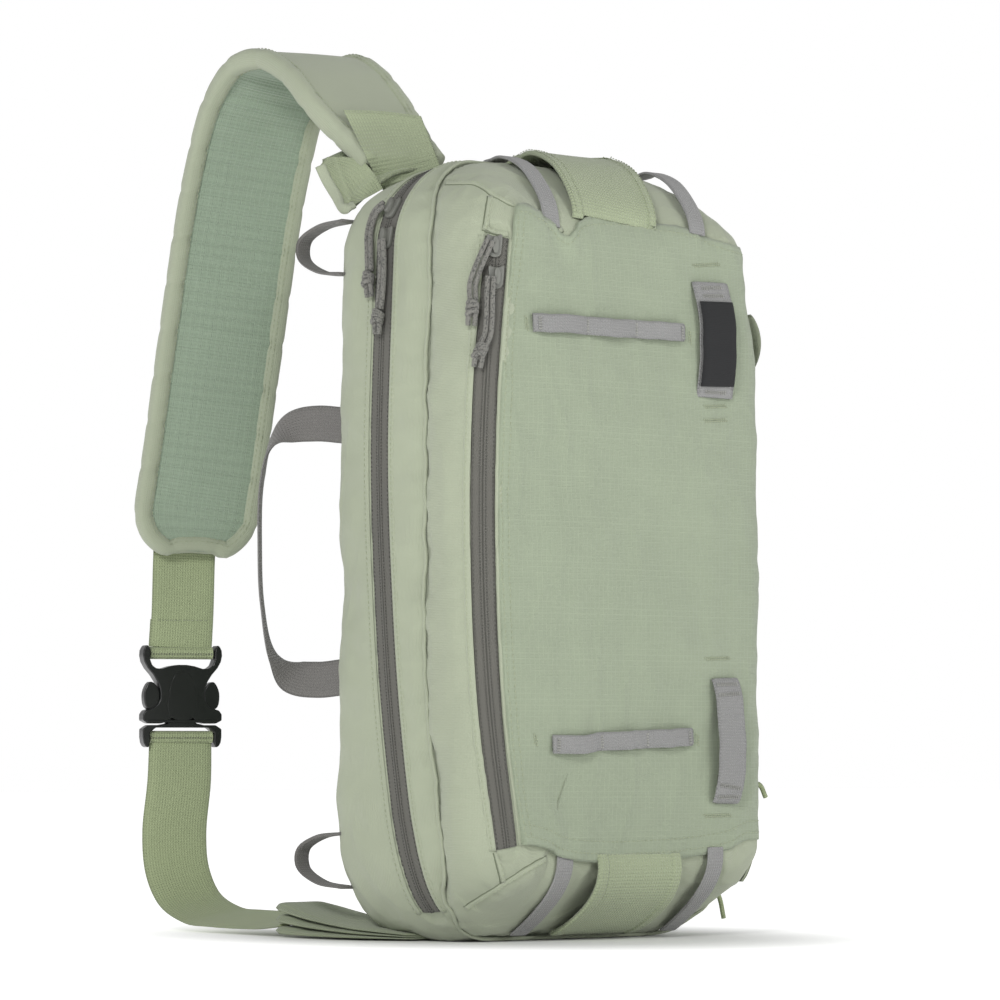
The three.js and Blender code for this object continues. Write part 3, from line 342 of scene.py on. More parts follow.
def moulded(name, colour, roughness, grain=0.08):
    """Moulded plastic or painted metal with a faint grain and handling marks."""
    material, nodes, links, base = shader(name, colour, roughness, coat=0.05)
    source = nodes.new("ShaderNodeTexCoord")
    fine = noise_node(nodes, links, source, GRAIN_SCALE)
    marks = noise_node(nodes, links, source, HANDLING_SCALE, 6)
    finish_surface(nodes, links, base, fine, grain, PLASTIC_RELIEF, marks, roughness - PLASTIC_POLISH,
                   roughness + PLASTIC_WEAR)
    return material


def srgb(*values):
    return tuple(((v / 255 + 0.055) / 1.055) ** 2.4 for v in values)


BODY = cloth("body_cloth", srgb(158, 165, 143), "plain", 0.9, 0.5, sheen=0.2, shade=0.1)
FRONT = cloth("front_ripstop", srgb(143, 153, 131), "plain", 0.8, 0.5, sheen=0.2, shade=0.1,
              grid=3.1, grid_shade=0.05, uv=False)
MESH = cloth("strap_mesh", srgb(142, 158, 138), "ribbed", 1.3, 0.9, sheen=0.3, shade=0.12, grid=3.2)
TEXTURED = cloth("textured_webbing", srgb(153, 163, 133), "plain", 1.9, 1.0, sheen=0.2, shade=0.18)
GREEN = cloth("green_webbing", srgb(156, 167, 129), "plain", 1.6, 0.9, sheen=0.2, shade=0.16)
GREY = cloth("grey_webbing", srgb(138, 138, 137), "plain", 1.7, 1.0, sheen=0.2, shade=0.2)
DARK_GREY = cloth("dark_grey_webbing", srgb(112, 110, 107), "plain", 1.7, 1.0, sheen=0.2, shade=0.2)
TAPE = cloth("zipper_tape", srgb(96, 95, 89), "twill", 1.3, 0.6, sheen=0.1, shade=0.12)
THREAD = cloth("thread", srgb(150, 158, 132), "twill", 0.5, 0.3, sheen=0.2, shade=0.08)
GREY_THREAD = cloth("grey_thread", srgb(150, 150, 145), "twill", 0.5, 0.3, shade=0.08)
CORD = cloth("pull_cord", srgb(124, 123, 117), "twill", 0.9, 0.7, shade=0.12, uv=False,
             speck=srgb(78, 79, 75))
PATCH = cloth("black_patch", srgb(18, 19, 21), "ribbed", 0.6, 0.3, sheen=0.05, shade=0.1)
PLASTIC = moulded("black_plastic", srgb(20, 22, 21), 0.3)
SLIDER = moulded("slider_metal", srgb(104, 105, 99), 0.45)
# Dark colour for thin tubes along the seams: painted shade in their creases
SEAM_SHADE_AND_POCKET_CREASE = cloth("seam_painted_shade", srgb(104, 112, 90), "plain", 0.8, 0.2, shade=0.1)
# Dark thread, and the dark strip along each zipper coil's middle that is painted shade of the gap between
# its rows
DARK_THREAD_AND_SLIT_SHADE = cloth("dark_thread_and_slit_shade", srgb(66, 66, 60), "ribbed", 0.7, 0.6, shade=0.1)


# Body surface

# Columns: depth at the sides, top and bottom, inset at the sides, top and bottom, sag.
PROFILE = np.array([
    [1, 1, 1, 0.54, 0.64, 0.3, 0],
    [0.95, 0.95, 0.95, 0.2, 0.4, 0.1, 0],
    [0.8, 0.78, 0.78, 0.02, 0.24, 0, 0],
    [0.33, 0.43, 0.37, -0.04, 0.06, 0, 0.85],
    [-0.13, 0.13, -0.1, 0.04, 0, 0, 1],
    [-0.26, 0, -0.21, 0.15, 0.03, 0.03, 1],
    [-0.39, -0.16, -0.36, 0.06, 0.04, 0.09, 0.8],
    [-0.62, -0.46, -0.61, 0.02, 0.19, 0.34, 0.3],
    [-0.85, -0.69, -0.82, 0.23, 0.43, 0.58, 0.1],
    [-0.97, -0.87, -0.93, 0.6, 0.7, 0.77, 0],
    [-1, -0.97, -0.985, 1, 1, 1, 0],
])
BACK_EDGE, SEAM_ROW, FRONT_EDGE = 0, 5, 10
CORNER_STEPS, SIDE_STEPS, TOP_STEPS = 40, 150, 64
CAP_SHARES = (0.86, 0.7)


def depth_of(share):
    return np.where(share < 0, share * FRONT_DEPTH, share * BACK_DEPTH)


def outline():
    """Spots round the body seen from the front: x, z and the outward direction."""
    half = WIDTH / 2
    spots = []

    def arc(x, z, radius, start):
        for i in range(CORNER_STEPS + 1):
            turn = math.radians(start + 90 * i / CORNER_STEPS)
            c, s = math.cos(turn), math.sin(turn)
            spots.append((x + radius * c, z + radius * s, c, s))

    def line(a, b, out, steps):
        for i in range(1, steps):
            t = i / steps
            spots.append((a[0] + (b[0] - a[0]) * t, a[1] + (b[1] - a[1]) * t, *out))

    low, high = CORNER_BOTTOM, HEIGHT - CORNER_TOP
    arc(half - CORNER_BOTTOM, low, CORNER_BOTTOM, -90)
    line((half, low), (half, high), (1, 0), SIDE_STEPS)
    arc(half - CORNER_TOP, high, CORNER_TOP, 0)
    line((half - CORNER_TOP, HEIGHT), (CORNER_TOP - half, HEIGHT), (0, 1), TOP_STEPS)
    arc(CORNER_TOP - half, high, CORNER_TOP, 90)
    line((-half, high), (-half, low), (-1, 0), SIDE_STEPS)
    arc(CORNER_BOTTOM - half, low, CORNER_BOTTOM, 180)
    line((CORNER_BOTTOM - half, 0), (half - CORNER_BOTTOM, 0), (0, -1), TOP_STEPS)
    return np.array(spots)


SPOTS = outline()


def ring(row):
    """The closed line of points where a profile row goes round the body."""
    x, z, out_x, out_z = SPOTS.T
    side, top, bottom = out_x**2, np.maximum(0, out_z) ** 2, np.maximum(0, -out_z) ** 2
    inset = side * row[3] * ROUND_SIDE + top * row[4] * ROUND_TOP + bottom * row[5] * ROUND_BOTTOM
    height = z - out_z * inset
    y = side * depth_of(row[0]) + top * depth_of(row[1]) + bottom * depth_of(row[2])
    y = y - side * row[6] * SAG * smooth((SAG_TOP - height / HEIGHT) / SAG_SPAN)
    narrow = 1 - TOP_TAPER * smooth((height / HEIGHT - TAPER_START) / (1 - TAPER_START))
    return np.stack([(x - out_x * inset) * narrow, y, height], axis=1)


def cap(edge, share, peak):
    middle = np.array([0, peak, HEIGHT / 2])
    points = middle + (edge - middle) * share
    points[:, 1] = edge[:, 1] * share**2 + peak * (1 - share**2)
    return points


FRONT_PEAK = -FRONT_DEPTH - CROWN
RINGS = np.stack([ring(row) for row in PROFILE])


def closing_rows(edge, shares, peak):
    """Rows that close the body over an edge, at shares of the way from its middle."""
    return np.stack([cap(edge, share, peak) for share in shares])


ALL_RINGS = np.concatenate([RINGS, closing_rows(RINGS[FRONT_EDGE], CAP_SHARES, FRONT_PEAK)])
LAST_LEVEL = FRONT_EDGE + len(CAP_SHARES)
# The plain surface closes at a middle that is a pinhole, so no line of sight slips through
PINHOLE = 0.0001
PLAIN_LEVELS, PLAIN_STRIDE = 85, 3
PLAIN_BACK_SHARES = (PINHOLE, 0.4, 0.8)
PLAIN_FRONT_SHARES = (0.6, 0.4, 0.2, PINHOLE)


def body_rows(levels):
    return spline_at(ALL_RINGS, np.asarray(levels, float))


def normals_of(rows):
    """Outward directions over a closed grid of rows."""
    down = np.gradient(rows, axis=0)
    round_about = (np.roll(rows, -1, axis=1) - np.roll(rows, 1, axis=1)) / 2
    return unit(np.cross(round_about, down))


def plain_tree():
    """The plain body surface for finding where a line of sight meets it."""
    levels = np.linspace(0, LAST_LEVEL, PLAIN_LEVELS)
    rows = np.concatenate([closing_rows(RINGS[BACK_EDGE], PLAIN_BACK_SHARES, BACK_DEPTH), body_rows(levels),
                           closing_rows(RINGS[FRONT_EDGE], PLAIN_FRONT_SHARES, FRONT_PEAK)])
    thin = rows[:, ::PLAIN_STRIDE]
    return BVHTree.FromPolygons([Vector(p) for p in thin.reshape(-1, 3)],
                                lattice(len(thin), thin.shape[1], closed=True))


TREE = plain_tree()


def strike(start, direction):
    point, normal, _, _ = TREE.ray_cast(Vector(start), Vector(direction))
    point, normal = np.array(point), np.array(normal)
    if normal @ direction > 0:
        normal = -normal
    return point, normal


def at_pixel(column, row):
    """The point of the body behind a pixel of the photograph."""
    return strike(EYE, sight(column, row))[0]


# The box inside the body that outward directions point away from
CORE_LOW, CORE_HIGH = (-70, -20, 60), (70, 20, 370)


def nearest(point):
    """The nearest point of the body and its outward direction."""
    found, normal, _, _ = TREE.find_nearest(Vector(point))
    found, normal = np.array(found), np.array(normal)
    outward = found - np.clip(found, CORE_LOW, CORE_HIGH)
    return found, normal if normal @ outward > 0 else -normal


def pixel_line(pixels, spacing=2.0):
    """A line on the body through pixels of the photograph."""
    shown = spline(np.array(pixels, float), 10 * len(pixels))
    return even([at_pixel(*p) for p in shown], spacing)


def laid(path, offsets, lifts):
    """Points beside a line on the body: one row a point of the line, lifted off the surface."""
    path = np.asarray(path, float)
    along = tangents(path)
    rows = []
    for point, way in zip(path, along):
        _, out = nearest(point)
        beside = unit(np.cross(out, way))
        found = [nearest(point + beside * offset) for offset in offsets]
        rows.append([spot + facing * lift for (spot, facing), lift in zip(found, lifts)])
    return np.array(rows)


def grid_uv(across, along):
    """Cloth coordinates of a grid of points, from its offsets and its lengths in millimetres."""
    return np.stack([np.tile(across, len(along)), np.repeat(along, len(across))], axis=1) * MM


def closed_strip(rows, offsets, lengths):
    """Rows of points round a strip's section as a mesh part with both ends closed."""
    faces = lattice(len(rows), len(offsets), closed=True, capped=True)
    return rows.reshape(-1, 3), faces, grid_uv(offsets, lengths)


# A laid strip's edge keeps a share of its thickness, under a top rounded by a power
EDGE_SHARE, STRIP_POWER = 0.35, 8


def laid_strip(path, width, thickness, low=0.0, across=7):
    """A closed strip along a line on the body: over its top and back underneath."""
    top = np.linspace(-1, 1, across)
    edge = np.sqrt(np.maximum(0, 1 - np.abs(top) ** STRIP_POWER))
    offsets = np.concatenate([top, top[::-1]]) * width / 2
    lifts = np.concatenate([low + thickness * (EDGE_SHARE + (1 - EDGE_SHARE) * edge), np.full(across, low)])
    return closed_strip(laid(path, offsets, lifts), offsets, length_along(path))


# Stitches

THREAD_SIDES = 5
# A stitch's two rings and its tips: shares of its length and radius
RING_AT, RING_SIZE, RING_RISE = 0.3, 0.9, 0.4
TIP_AT, TIP_DROP = 0.5, 0.5


def thread_parts(line, outs, pitch, length, radius):
    """Small rounded stitches along a line, half sunk in the cloth."""
    line = np.asarray(line, float)
    s = length_along(line)
    way = tangents(line)
    turns = [2 * math.pi * k / THREAD_SIDES for k in range(THREAD_SIDES)]
    points, faces = [], []
    for start in np.arange(pitch / 2, s[-1] - length / 2, pitch):
        spot = picked_at(start, s, line)
        along, out = unit(picked_at(start, s, way)), unit(picked_at(start, s, outs))
        beside = np.cross(out, along)
        base = len(points)
        points.append(spot - along * TIP_AT * length - out * radius * TIP_DROP)
        for share in (-RING_AT, RING_AT):
            middle = spot + along * share * length + out * radius * RING_RISE
            points += [middle + (beside * math.cos(turn) + out * math.sin(turn)) * radius * RING_SIZE
                       for turn in turns]
        points.append(spot + along * TIP_AT * length - out * radius * TIP_DROP)
        first, second, tip = base + 1, base + 1 + THREAD_SIDES, base + 1 + 2 * THREAD_SIDES
        for k in range(THREAD_SIDES):
            j = (k + 1) % THREAD_SIDES
            faces.append((base, first + j, first + k))
            faces.append((first + k, first + j, second + j, second + k))
            faces.append((second + k, second + j, tip))
    return points, faces


def stitches_on_body(line, lift, pitch, length, radius):
    spots = [nearest(p) for p in line]
    outs = np.array([out for _, out in spots])
    raised = np.array([p for p, _ in spots]) + outs * lift
    return thread_parts(raised, outs, pitch, length, radius)


# Stitches: pitch, length and radius
PANEL_STITCH, LIP_STITCH, COIL_STITCH = (3.2, 2.4, 0.3), (3.0, 2.3, 0.26), (1.7, 1.1, 0.34)
TAPE_STITCH, SEAM_STITCH, FINE_STITCH = (2.4, 1.5, 0.26), (3.2, 2.5, 0.3), (2.6, 2.0, 0.3)
CARRY_STITCH, TACK_STITCH, MARK_STITCH = (3.0, 2.2, 0.28), (1.5, 1.3, 0.32), (1.6, 1.3, 0.4)
STITCHES = {"green": [], "grey": [], "dark": []}


def sew(colour, parts):
    points, faces = parts
    if points:
        STITCHES[colour].append((points, faces, None, 0))


# Zippers: the lines that they follow on the body

# depth as a share of BACK_DEPTH, height as a share of HEIGHT
MAIN_ZIPPER = [(-0.13, 0.036), (-0.12, 0.093), (0, 0.164), (0.16, 0.304), (0.26, 0.467),
               (0.3, 0.584), (0.3, 0.72), (0.3, 0.86)]
MAIN_ZIPPER_TOP = 0.3
MAIN_ZIPPER_END = -0.24
# across the line of sight as a share of WIDTH, height as a share of HEIGHT
FRONT_ZIPPER = [(-0.115, 0.12), (-0.157, 0.305), (-0.174, 0.49), (-0.169, 0.68), (-0.138, 0.885)]
MAIN_ZIPPER_WIDTH, FRONT_ZIPPER_WIDTH = 18.0, 17.0
FAN_STEPS, ZIPPER_STEPS, ZIPPER_SPACING = 12, 120, 2.0


def from_left(y, z):
    return strike((-WIDTH, y, z), (1, 0, 0))


def from_camera_side(across, z):
    """The body met along the camera's level direction, at a distance across it."""
    return strike(RIGHT * across - LEVEL * WIDTH + np.array([0, 0, z]), LEVEL)


def main_zipper_line():
    side = spline([(b * BACK_DEPTH, u * HEIGHT) for b, u in MAIN_ZIPPER], ZIPPER_STEPS)
    points = [from_left(y, z)[0] for y, z in side]
    y = MAIN_ZIPPER_TOP * BACK_DEPTH
    centre = np.array([CORNER_TOP - WIDTH / 2, y, HEIGHT - CORNER_TOP])
    for i in range(1, FAN_STEPS + 1):
        turn = math.radians(180 - 90 * i / FAN_STEPS)
        way = np.array([math.cos(turn), 0, math.sin(turn)])
        points.append(strike(centre + way * WIDTH, -way)[0])
    points.append(strike((MAIN_ZIPPER_END * WIDTH, y, 2 * HEIGHT), (0, 0, -1))[0])
    return even(points, ZIPPER_SPACING)


def front_zipper_line():
    across = spline([(a * WIDTH, u * HEIGHT) for a, u in FRONT_ZIPPER], ZIPPER_STEPS)
    return even([from_camera_side(a, z)[0] for a, z in across], ZIPPER_SPACING)


MAIN_LINE = main_zipper_line()
FRONT_LINE = front_zipper_line()

# Seams, by pixels of the photograph
SEAMS = {
    "cap_left": [(444, 183), (476, 187), (489, 195), (513, 207), (537, 218), (556, 236), (563, 231)],
    "foot_left": [(464, 907), (502, 884), (528, 866), (545, 856)],
    "garage_left": [(488, 197), (483, 229)],
    "garage_low": [(482, 229), (508, 237)],
    "panel_top": [(566, 224), (600, 218), (640, 221), (690, 230), (735, 243)],
    "hem": [(544, 856), (587, 861), (640, 859), (678, 856), (720, 851), (743, 843)],
    "foot_patch": [(494, 853), (502, 884)],
}
SEAM_LINES = {name: pixel_line(pixels) for name, pixels in SEAMS.items()}


def ripple(point, scale, offset):
    return noise.noise(Vector(point) / scale + Vector((offset, 0, 0)))


# The piping wavers across its seam in long and short waves: height and size of each
PIPING_WAVES = ((2.4, 17), (1.1, 6))
PIPING = body_rows([SEAM_ROW])[0]
PIPING[:, 1] += [sum(height * ripple(p, size, 0) for height, size in PIPING_WAVES) for p in PIPING]
BLOCK = 4000


def to_line(points, line):
    """Distance of each point from a line, and how far along the line it is."""
    s = length_along(line)
    distance, along = np.empty(len(points)), np.empty(len(points))
    for block in range(0, len(points), BLOCK):
        part = points[block:block + BLOCK]
        d = np.linalg.norm(part[:, None] - line[None], axis=2)
        best = d.argmin(axis=1)
        distance[block:block + BLOCK] = d[np.arange(len(part)), best]
        along[block:block + BLOCK] = s[best]
    return distance, along


# Seams: how deep they pull, how wide, and how high, far and often the cloth puckers beside them
SEAM_DEPTH, SEAM_HALF, PIPING_DEPTH, PIPING_HALF = 0.36, 2.6, 0.9, 1.3
PUCKER_HEIGHT, PUCKER_REACH, PUCKER_PITCH, PUCKER_EVEN = 0.55, 9.0, 11.0, 0.6
WANDER_SIZE, WANDER_OFFSET, WANDER_TURN, WANDER_FLOOR = 9.0, 3.0, 4, 0.02
# Zippers: how deep they lie, their slope, the flat cloth beside them and its low waves
ZIPPER_DEPTH, ZIPPER_SLOPE, CALM_START, CALM_REACH = 1.7, 1.6, 2.0, 13.0
WAVE_HEIGHT, WAVE_AT, WAVE_HALF, WAVE_PITCH, WAVE_DRIFT = 0.2, 6, 7, 17.0, 23.0
FOLD_END = 0.02
# Soft cloth: share, size and offset of each layer of dents
SOFT_HEIGHT = 2.5
SOFT_LAYERS = ((1, 55.0, 0.0), (0.45, 21.0, 9.0), (0.2, 9.0, 5.0))
CREASE_HEIGHT, CREASE_SHARP, CREASE_STRETCH, CREASE_EVEN = 0.9, 9.0, 0.4, 0.5
CREASE_LINES, CREASE_PATCHES = (30.0, 12.0), (70.0, 15.0)
# The upper right corner of the front is slimmer: depth, then start and span along x, y and z
SLIM_CORNER = 6.0
SLIM_SIDE, SLIM_FRONT, SLIM_HEIGHT = (35, 60), (30, 50), (315, 70)
# A fold: from pixel, to pixel, half width, height
FOLDS = [
    ((560, 850), (548, 800), 5, 1.8), ((545, 860), (505, 885), 6, 1.2),
    ((562, 232), (580, 262), 5, 1.5), ((455, 880), (432, 800), 6, 1.4),
    ((418, 480), (432, 520), 8, 0.9), ((412, 600), (434, 640), 8, 0.9),
    ((420, 700), (440, 750), 9, 1.1), ((445, 820), (490, 858), 7, 1.1),
    ((360, 240), (352, 330), 9, 0.9), ((356, 560), (372, 640), 10, 0.9),
    ((376, 780), (398, 860), 8, 1.2), ((400, 230), (432, 262), 6, 0.8),
    ((446, 260), (466, 330), 7, 0.9), ((450, 400), (466, 470), 7, 0.7),
    ((352, 815), (378, 872), 6, 1.7), ((366, 790), (400, 900), 6, 1.6), ((350, 868), (384, 916), 5, 1.6),
    ((404, 262), (412, 330), 6, 1.2), ((392, 300), (400, 360), 5, 1.0), ((420, 560), (436, 590), 5, 1.2),
    ((424, 380), (436, 410), 5, 1.2), ((455, 600), (468, 690), 7, 1.0), ((566, 850), (604, 812), 7, 1.3),
]
FOLD_SPACING = 3.0
FOLD_LINES = [(even([at_pixel(*a), at_pixel(*b)], FOLD_SPACING), w, h) for a, b, w, h in FOLDS]


def seam_relief(points, line, depth, half_width):
    """The groove of a seam and the puckers on both sides of it."""
    distance, along = to_line(points, line)
    near = np.exp(-(distance / PUCKER_REACH) ** 2)
    wander = np.array([ripple((a, 0, 0), WANDER_SIZE, WANDER_OFFSET) if n > WANDER_FLOOR else 0.0
                       for a, n in zip(along, near)])
    puckers = np.sin(2 * math.pi * along / PUCKER_PITCH + WANDER_TURN * wander)
    lip = np.clip(distance / half_width, 0, 1)
    return (PUCKER_HEIGHT * near * lip * puckers * (PUCKER_EVEN + wander)
            - depth * np.exp(-(distance / half_width) ** 2))


def soft_relief(points):
    """Dents in several sizes, with sharper creases that run upwards."""
    soft = np.array([sum(share * ripple(p, size, offset) for share, size, offset in SOFT_LAYERS)
                     for p in points])
    tall = points * np.array([1.0, 1.0, CREASE_STRETCH])
    creases = np.array([max(0.0, 1 - CREASE_SHARP * abs(ripple(p, *CREASE_LINES)))
                        * (CREASE_EVEN + ripple(p, *CREASE_PATCHES)) for p in tall])
    return SOFT_HEIGHT * soft + CREASE_HEIGHT * creases


def relief(points, groove_lines, half_groove):
    """How far the cloth moves outwards at each point."""
    move = seam_relief(points, PIPING, PIPING_DEPTH, PIPING_HALF)
    for line in SEAM_LINES.values():
        move += seam_relief(points, line, SEAM_DEPTH, SEAM_HALF)
    calm = np.ones(len(points))
    for line in groove_lines:
        distance, along = to_line(points, line)
        beside = distance - half_groove
        calm *= smooth((beside - CALM_START) / CALM_REACH)
        move -= ZIPPER_DEPTH * (1 - smooth((beside + ZIPPER_SLOPE) / ZIPPER_SLOPE))
        near = np.exp(-((beside - WAVE_AT) / WAVE_HALF) ** 2)
        drift = 3 * np.sin(along / WAVE_DRIFT)
        move += WAVE_HEIGHT * near * np.sin(2 * math.pi * along / WAVE_PITCH + drift)
    for line, width, height in FOLD_LINES:
        distance, along = to_line(points, line)
        ends = np.sin(math.pi * np.clip(along / length_along(line)[-1], FOLD_END, 1 - FOLD_END))
        move += height * ends * np.exp(-(distance / width) ** 2) * calm
    slim = (smooth((points[:, 2] - SLIM_HEIGHT[0]) / SLIM_HEIGHT[1])
            * smooth((points[:, 0] - SLIM_SIDE[0]) / SLIM_SIDE[1])
            * smooth((SLIM_FRONT[0] - points[:, 1]) / SLIM_FRONT[1]))
    return move + soft_relief(points) * calm - SLIM_CORNER * slim


DRESSED = []
SHELL_FLOOR = 0.05


def shell(name, rows, close_middle, line, half_groove, node):
    """A cloth shell of the body over a closed grid of rows."""
    flat, outs = rows.reshape(-1, 3), normals_of(rows).reshape(-1, 3)
    centre = np.array([0, 0, HEIGHT / 2])
    if np.sum(outs * (flat - centre)) < 0:
        outs = -outs
    moved = flat + outs * relief(flat, [line], half_groove)[:, None]
    moved[:, 2] = np.maximum(moved[:, 2], SHELL_FLOOR)
    count = rows.shape[1]
    s_round = length_along(np.concatenate([rows[0], rows[0][:1]]))[:-1]
    uv = grid_uv(s_round, length_along(rows[:, count // 5]))
    faces = lattice(len(rows), count, closed=True)
    if close_middle:
        faces.append(tuple(range((len(rows) - 1) * count, len(rows) * count)))
    DRESSED.append((moved, faces))
    return settle(mesh_object(name, moved, faces, uv, [BODY]), [node])


REAR_LEVELS, FRONT_LEVELS = 100, 105
BACK_SHARES = (0.03, 0.3, 0.6, 0.8, 0.9, 0.96)
FRONT_SHARES = np.linspace(0.66, 0.02, 14)
rear_rows = [closing_rows(RINGS[BACK_EDGE], BACK_SHARES, BACK_DEPTH),
             body_rows(np.linspace(BACK_EDGE, SEAM_ROW, REAR_LEVELS))]
shell("main_shell", np.concatenate(rear_rows), False, MAIN_LINE, MAIN_ZIPPER_WIDTH / 2,
      "main_compartment")
front_rows = [body_rows(np.linspace(SEAM_ROW, LAST_LEVEL, FRONT_LEVELS)),
              closing_rows(RINGS[FRONT_EDGE], FRONT_SHARES, FRONT_PEAK)]
shell("front_shell", np.concatenate(front_rows), True, FRONT_LINE, FRONT_ZIPPER_WIDTH / 2,
      "front_compartment")


# The front panel: cloth laid over the body from the zipper round the right corner

PANEL_TOP = [(505, 206), (513, 209), (537, 220), (554, 236), (562, 231), (568, 221), (600, 217),
             (640, 221), (690, 230), (735, 243)]
PANEL_HEM = [(508, 845), (526, 849), (544, 857), (587, 862), (640, 860), (678, 857), (720, 850),
             (743, 840)]
PANEL_LEVELS, PANEL_RAYS = 120, 90
PANEL_COLUMNS, PANEL_ROWS = 110, 160
PANEL_LOW, PANEL_HIGH = 30.0, 410.0
PANEL_END = -34.0
PANEL_LIFT, PANEL_UNDER, PANEL_CLEARANCE = 1.3, -0.6, 0.3
# How far the edges stand off, and how far that reaches into the cloth
HEM_FLARE, HEM_REACH, TOP_FLARE, TOP_REACH = 2.2, 7, 1.0, 4
# Shares of the panel's width where it sinks to the body and where its flares end
SINK_SPAN, FLARE_END, FLARE_SPAN = 0.14, 0.45, 0.35
MEASURE_COLUMN = 10
PANEL_WEAVE = 2.0
PANEL_SEAM_ROWS, PANEL_SEAM_COLUMNS, PANEL_SEAM_END = (2, 5, PANEL_ROWS - 3), (1, 3), 0.9


def round_body(z, turns):
    """Points of the body at a height, seen from its middle at turns from straight ahead."""
    found = []
    for turn in turns:
        way = np.array([math.sin(turn), -math.cos(turn), 0])
        found.append(strike(np.array([0, 0, z]) + way * 2 * WIDTH, -way)[0])
    return np.array(found)


def beside_line(line, offset, lift):
    return laid(line, [offset], [lift])[:, 0]


def panel_grid():
    """Points of the body under the panel, between its top line and its hem."""
    edges = [beside_line(FRONT_LINE, side * (FRONT_ZIPPER_WIDTH / 2 + PANEL_CLEARANCE), 0)
             for side in (-1, 1)]
    start_line = max(edges, key=lambda line: line[len(line) // 2] @ RIGHT)
    start_line = start_line[np.argsort(start_line[:, 2])]
    top_line, hem_line = pixel_line(PANEL_TOP), pixel_line(PANEL_HEM)
    levels = np.linspace(PANEL_LOW, PANEL_HIGH, PANEL_LEVELS)
    shares = np.linspace(0, 1, PANEL_COLUMNS)
    sheet = []
    for z in levels:
        x, y = (np.interp(z, start_line[:, 2], start_line[:, k]) for k in (0, 1))
        first, last = math.atan2(x, -y), math.atan2(WIDTH / 2, -PANEL_END)
        line = round_body(z, np.linspace(first, last, PANEL_RAYS))
        s = length_along(line)
        sheet.append(picked_at(shares, s / s[-1], line))
    sheet = np.array(sheet)
    flat = np.empty((PANEL_ROWS, PANEL_COLUMNS, 3))
    for c in range(PANEL_COLUMNS):
        across = sheet[PANEL_LEVELS // 2, c, 0]
        for _ in range(2):
            high = top_line[np.abs(top_line[:, 0] - across).argmin(), 2]
            low = hem_line[np.abs(hem_line[:, 0] - across).argmin(), 2]
            across = np.interp((high + low) / 2, levels, sheet[:, c, 0])
        flat[:, c] = picked_at(np.linspace(low, high, PANEL_ROWS), levels, sheet[:, c])
    return flat, shares


def front_panel():
    """The panel with its edges closed all round, a flared hem and a crisp top edge."""
    flat, shares = panel_grid()
    outs = unit(np.cross(np.gradient(flat, axis=1), np.gradient(flat, axis=0)))
    if outs[PANEL_ROWS // 2, MEASURE_COLUMN, 1] > 0:
        outs = -outs
    rise = relief(flat.reshape(-1, 3), [], 0).reshape(PANEL_ROWS, PANEL_COLUMNS)
    down = length_along(flat[:, MEASURE_COLUMN])
    flare = HEM_FLARE * np.exp(-down / HEM_REACH) + TOP_FLARE * np.exp(-(down[-1] - down) / TOP_REACH)
    sink = smooth((1 - shares) / SINK_SPAN)
    flared = flare[:, None] * (1 - smooth((shares - FLARE_END) / FLARE_SPAN))
    moved = flat + outs * (rise + (PANEL_LIFT + flared) * sink)[..., None]
    under = flat + outs * (rise + PANEL_UNDER)[..., None]
    full = np.pad(moved, ((1, 1), (1, 1), (0, 0)))
    rim = np.pad(under, ((1, 1), (1, 1), (0, 0)), mode="edge")
    full[[0, -1]], full[:, [0, -1]] = rim[[0, -1]], rim[:, [0, -1]]
    count, wide = full.shape[:2]
    uv = grid_uv(np.arange(wide) * PANEL_WEAVE, np.arange(count) * PANEL_WEAVE)
    faces = lattice(count, wide)
    DRESSED.append((full.reshape(-1, 3), faces))
    settle(mesh_object("front_panel", full.reshape(-1, 3), faces, uv, [FRONT]), [])
    return moved, outs


panel, panel_outs = front_panel()
panel_end = int(PANEL_COLUMNS * PANEL_SEAM_END)
for row in PANEL_SEAM_ROWS:
    sew("green", thread_parts(panel[row, 1:panel_end], panel_outs[row, 1:panel_end], *PANEL_STITCH))
for column in PANEL_SEAM_COLUMNS:
    sew("green", thread_parts(panel[2:-2, column], panel_outs[2:-2, column], *PANEL_STITCH))


# Piping along the seam between the compartments
PIPING_RADIUS, PIPING_LIFT, PIPING_SPACING = 1.1, 0.5, 2.5
TUBE_SIDES = 10
# A direction that no tube here starts along, to turn its first ring from
TUBE_START = (0.3, 0.5, 0.81)


def tube_part(path, radii, sides=TUBE_SIDES, closed=False):
    """A round tube along points; radii is one radius or one for each point."""
    path = np.asarray(path, float)
    radii = np.broadcast_to(radii, len(path))
    if closed:
        along = unit(np.roll(path, -1, axis=0) - np.roll(path, 1, axis=0))
    else:
        along = tangents(path)
    side = np.cross(along[0], TUBE_START)
    turns = np.arange(sides) / sides * 2 * math.pi
    points = []
    for spot, way, radius in zip(path, along, radii):
        side = unit(side - (side @ way) * way)
        up = np.cross(way, side)
        points += [spot + radius * (math.cos(turn) * side + math.sin(turn) * up) for turn in turns]
    uv = grid_uv(turns * np.mean(radii), length_along(path))
    faces = lattice(len(path), sides, closed=True, capped=not closed)
    if closed:
        base = (len(path) - 1) * sides
        faces += [(base + k, base + (k + 1) % sides, (k + 1) % sides, k) for k in range(sides)]
    return points, faces, uv


def part_piece(name, parts, materials, nodes):
    """A piece from (points, faces, uvs) parts; a fourth value picks the part's material."""
    full = [(*p, 0) if len(p) == 3 else p for p in parts]
    return settle(join_parts(name, full, materials), nodes)


piping_path = even(np.concatenate([PIPING, PIPING[:1]]), PIPING_SPACING)[:-1]
piping_path = np.array([p + PIPING_LIFT * nearest(p)[1] for p in piping_path])
part_piece("seam_piping", [tube_part(piping_path, PIPING_RADIUS, closed=True)], [BODY], [])


# Zippers

LIP_WIDTH, LIP_THICKNESS, LIP_OVERLAP, LIP_LOW = 4.2, 1.0, 1.0, -0.5
COIL_HALF = 2.0
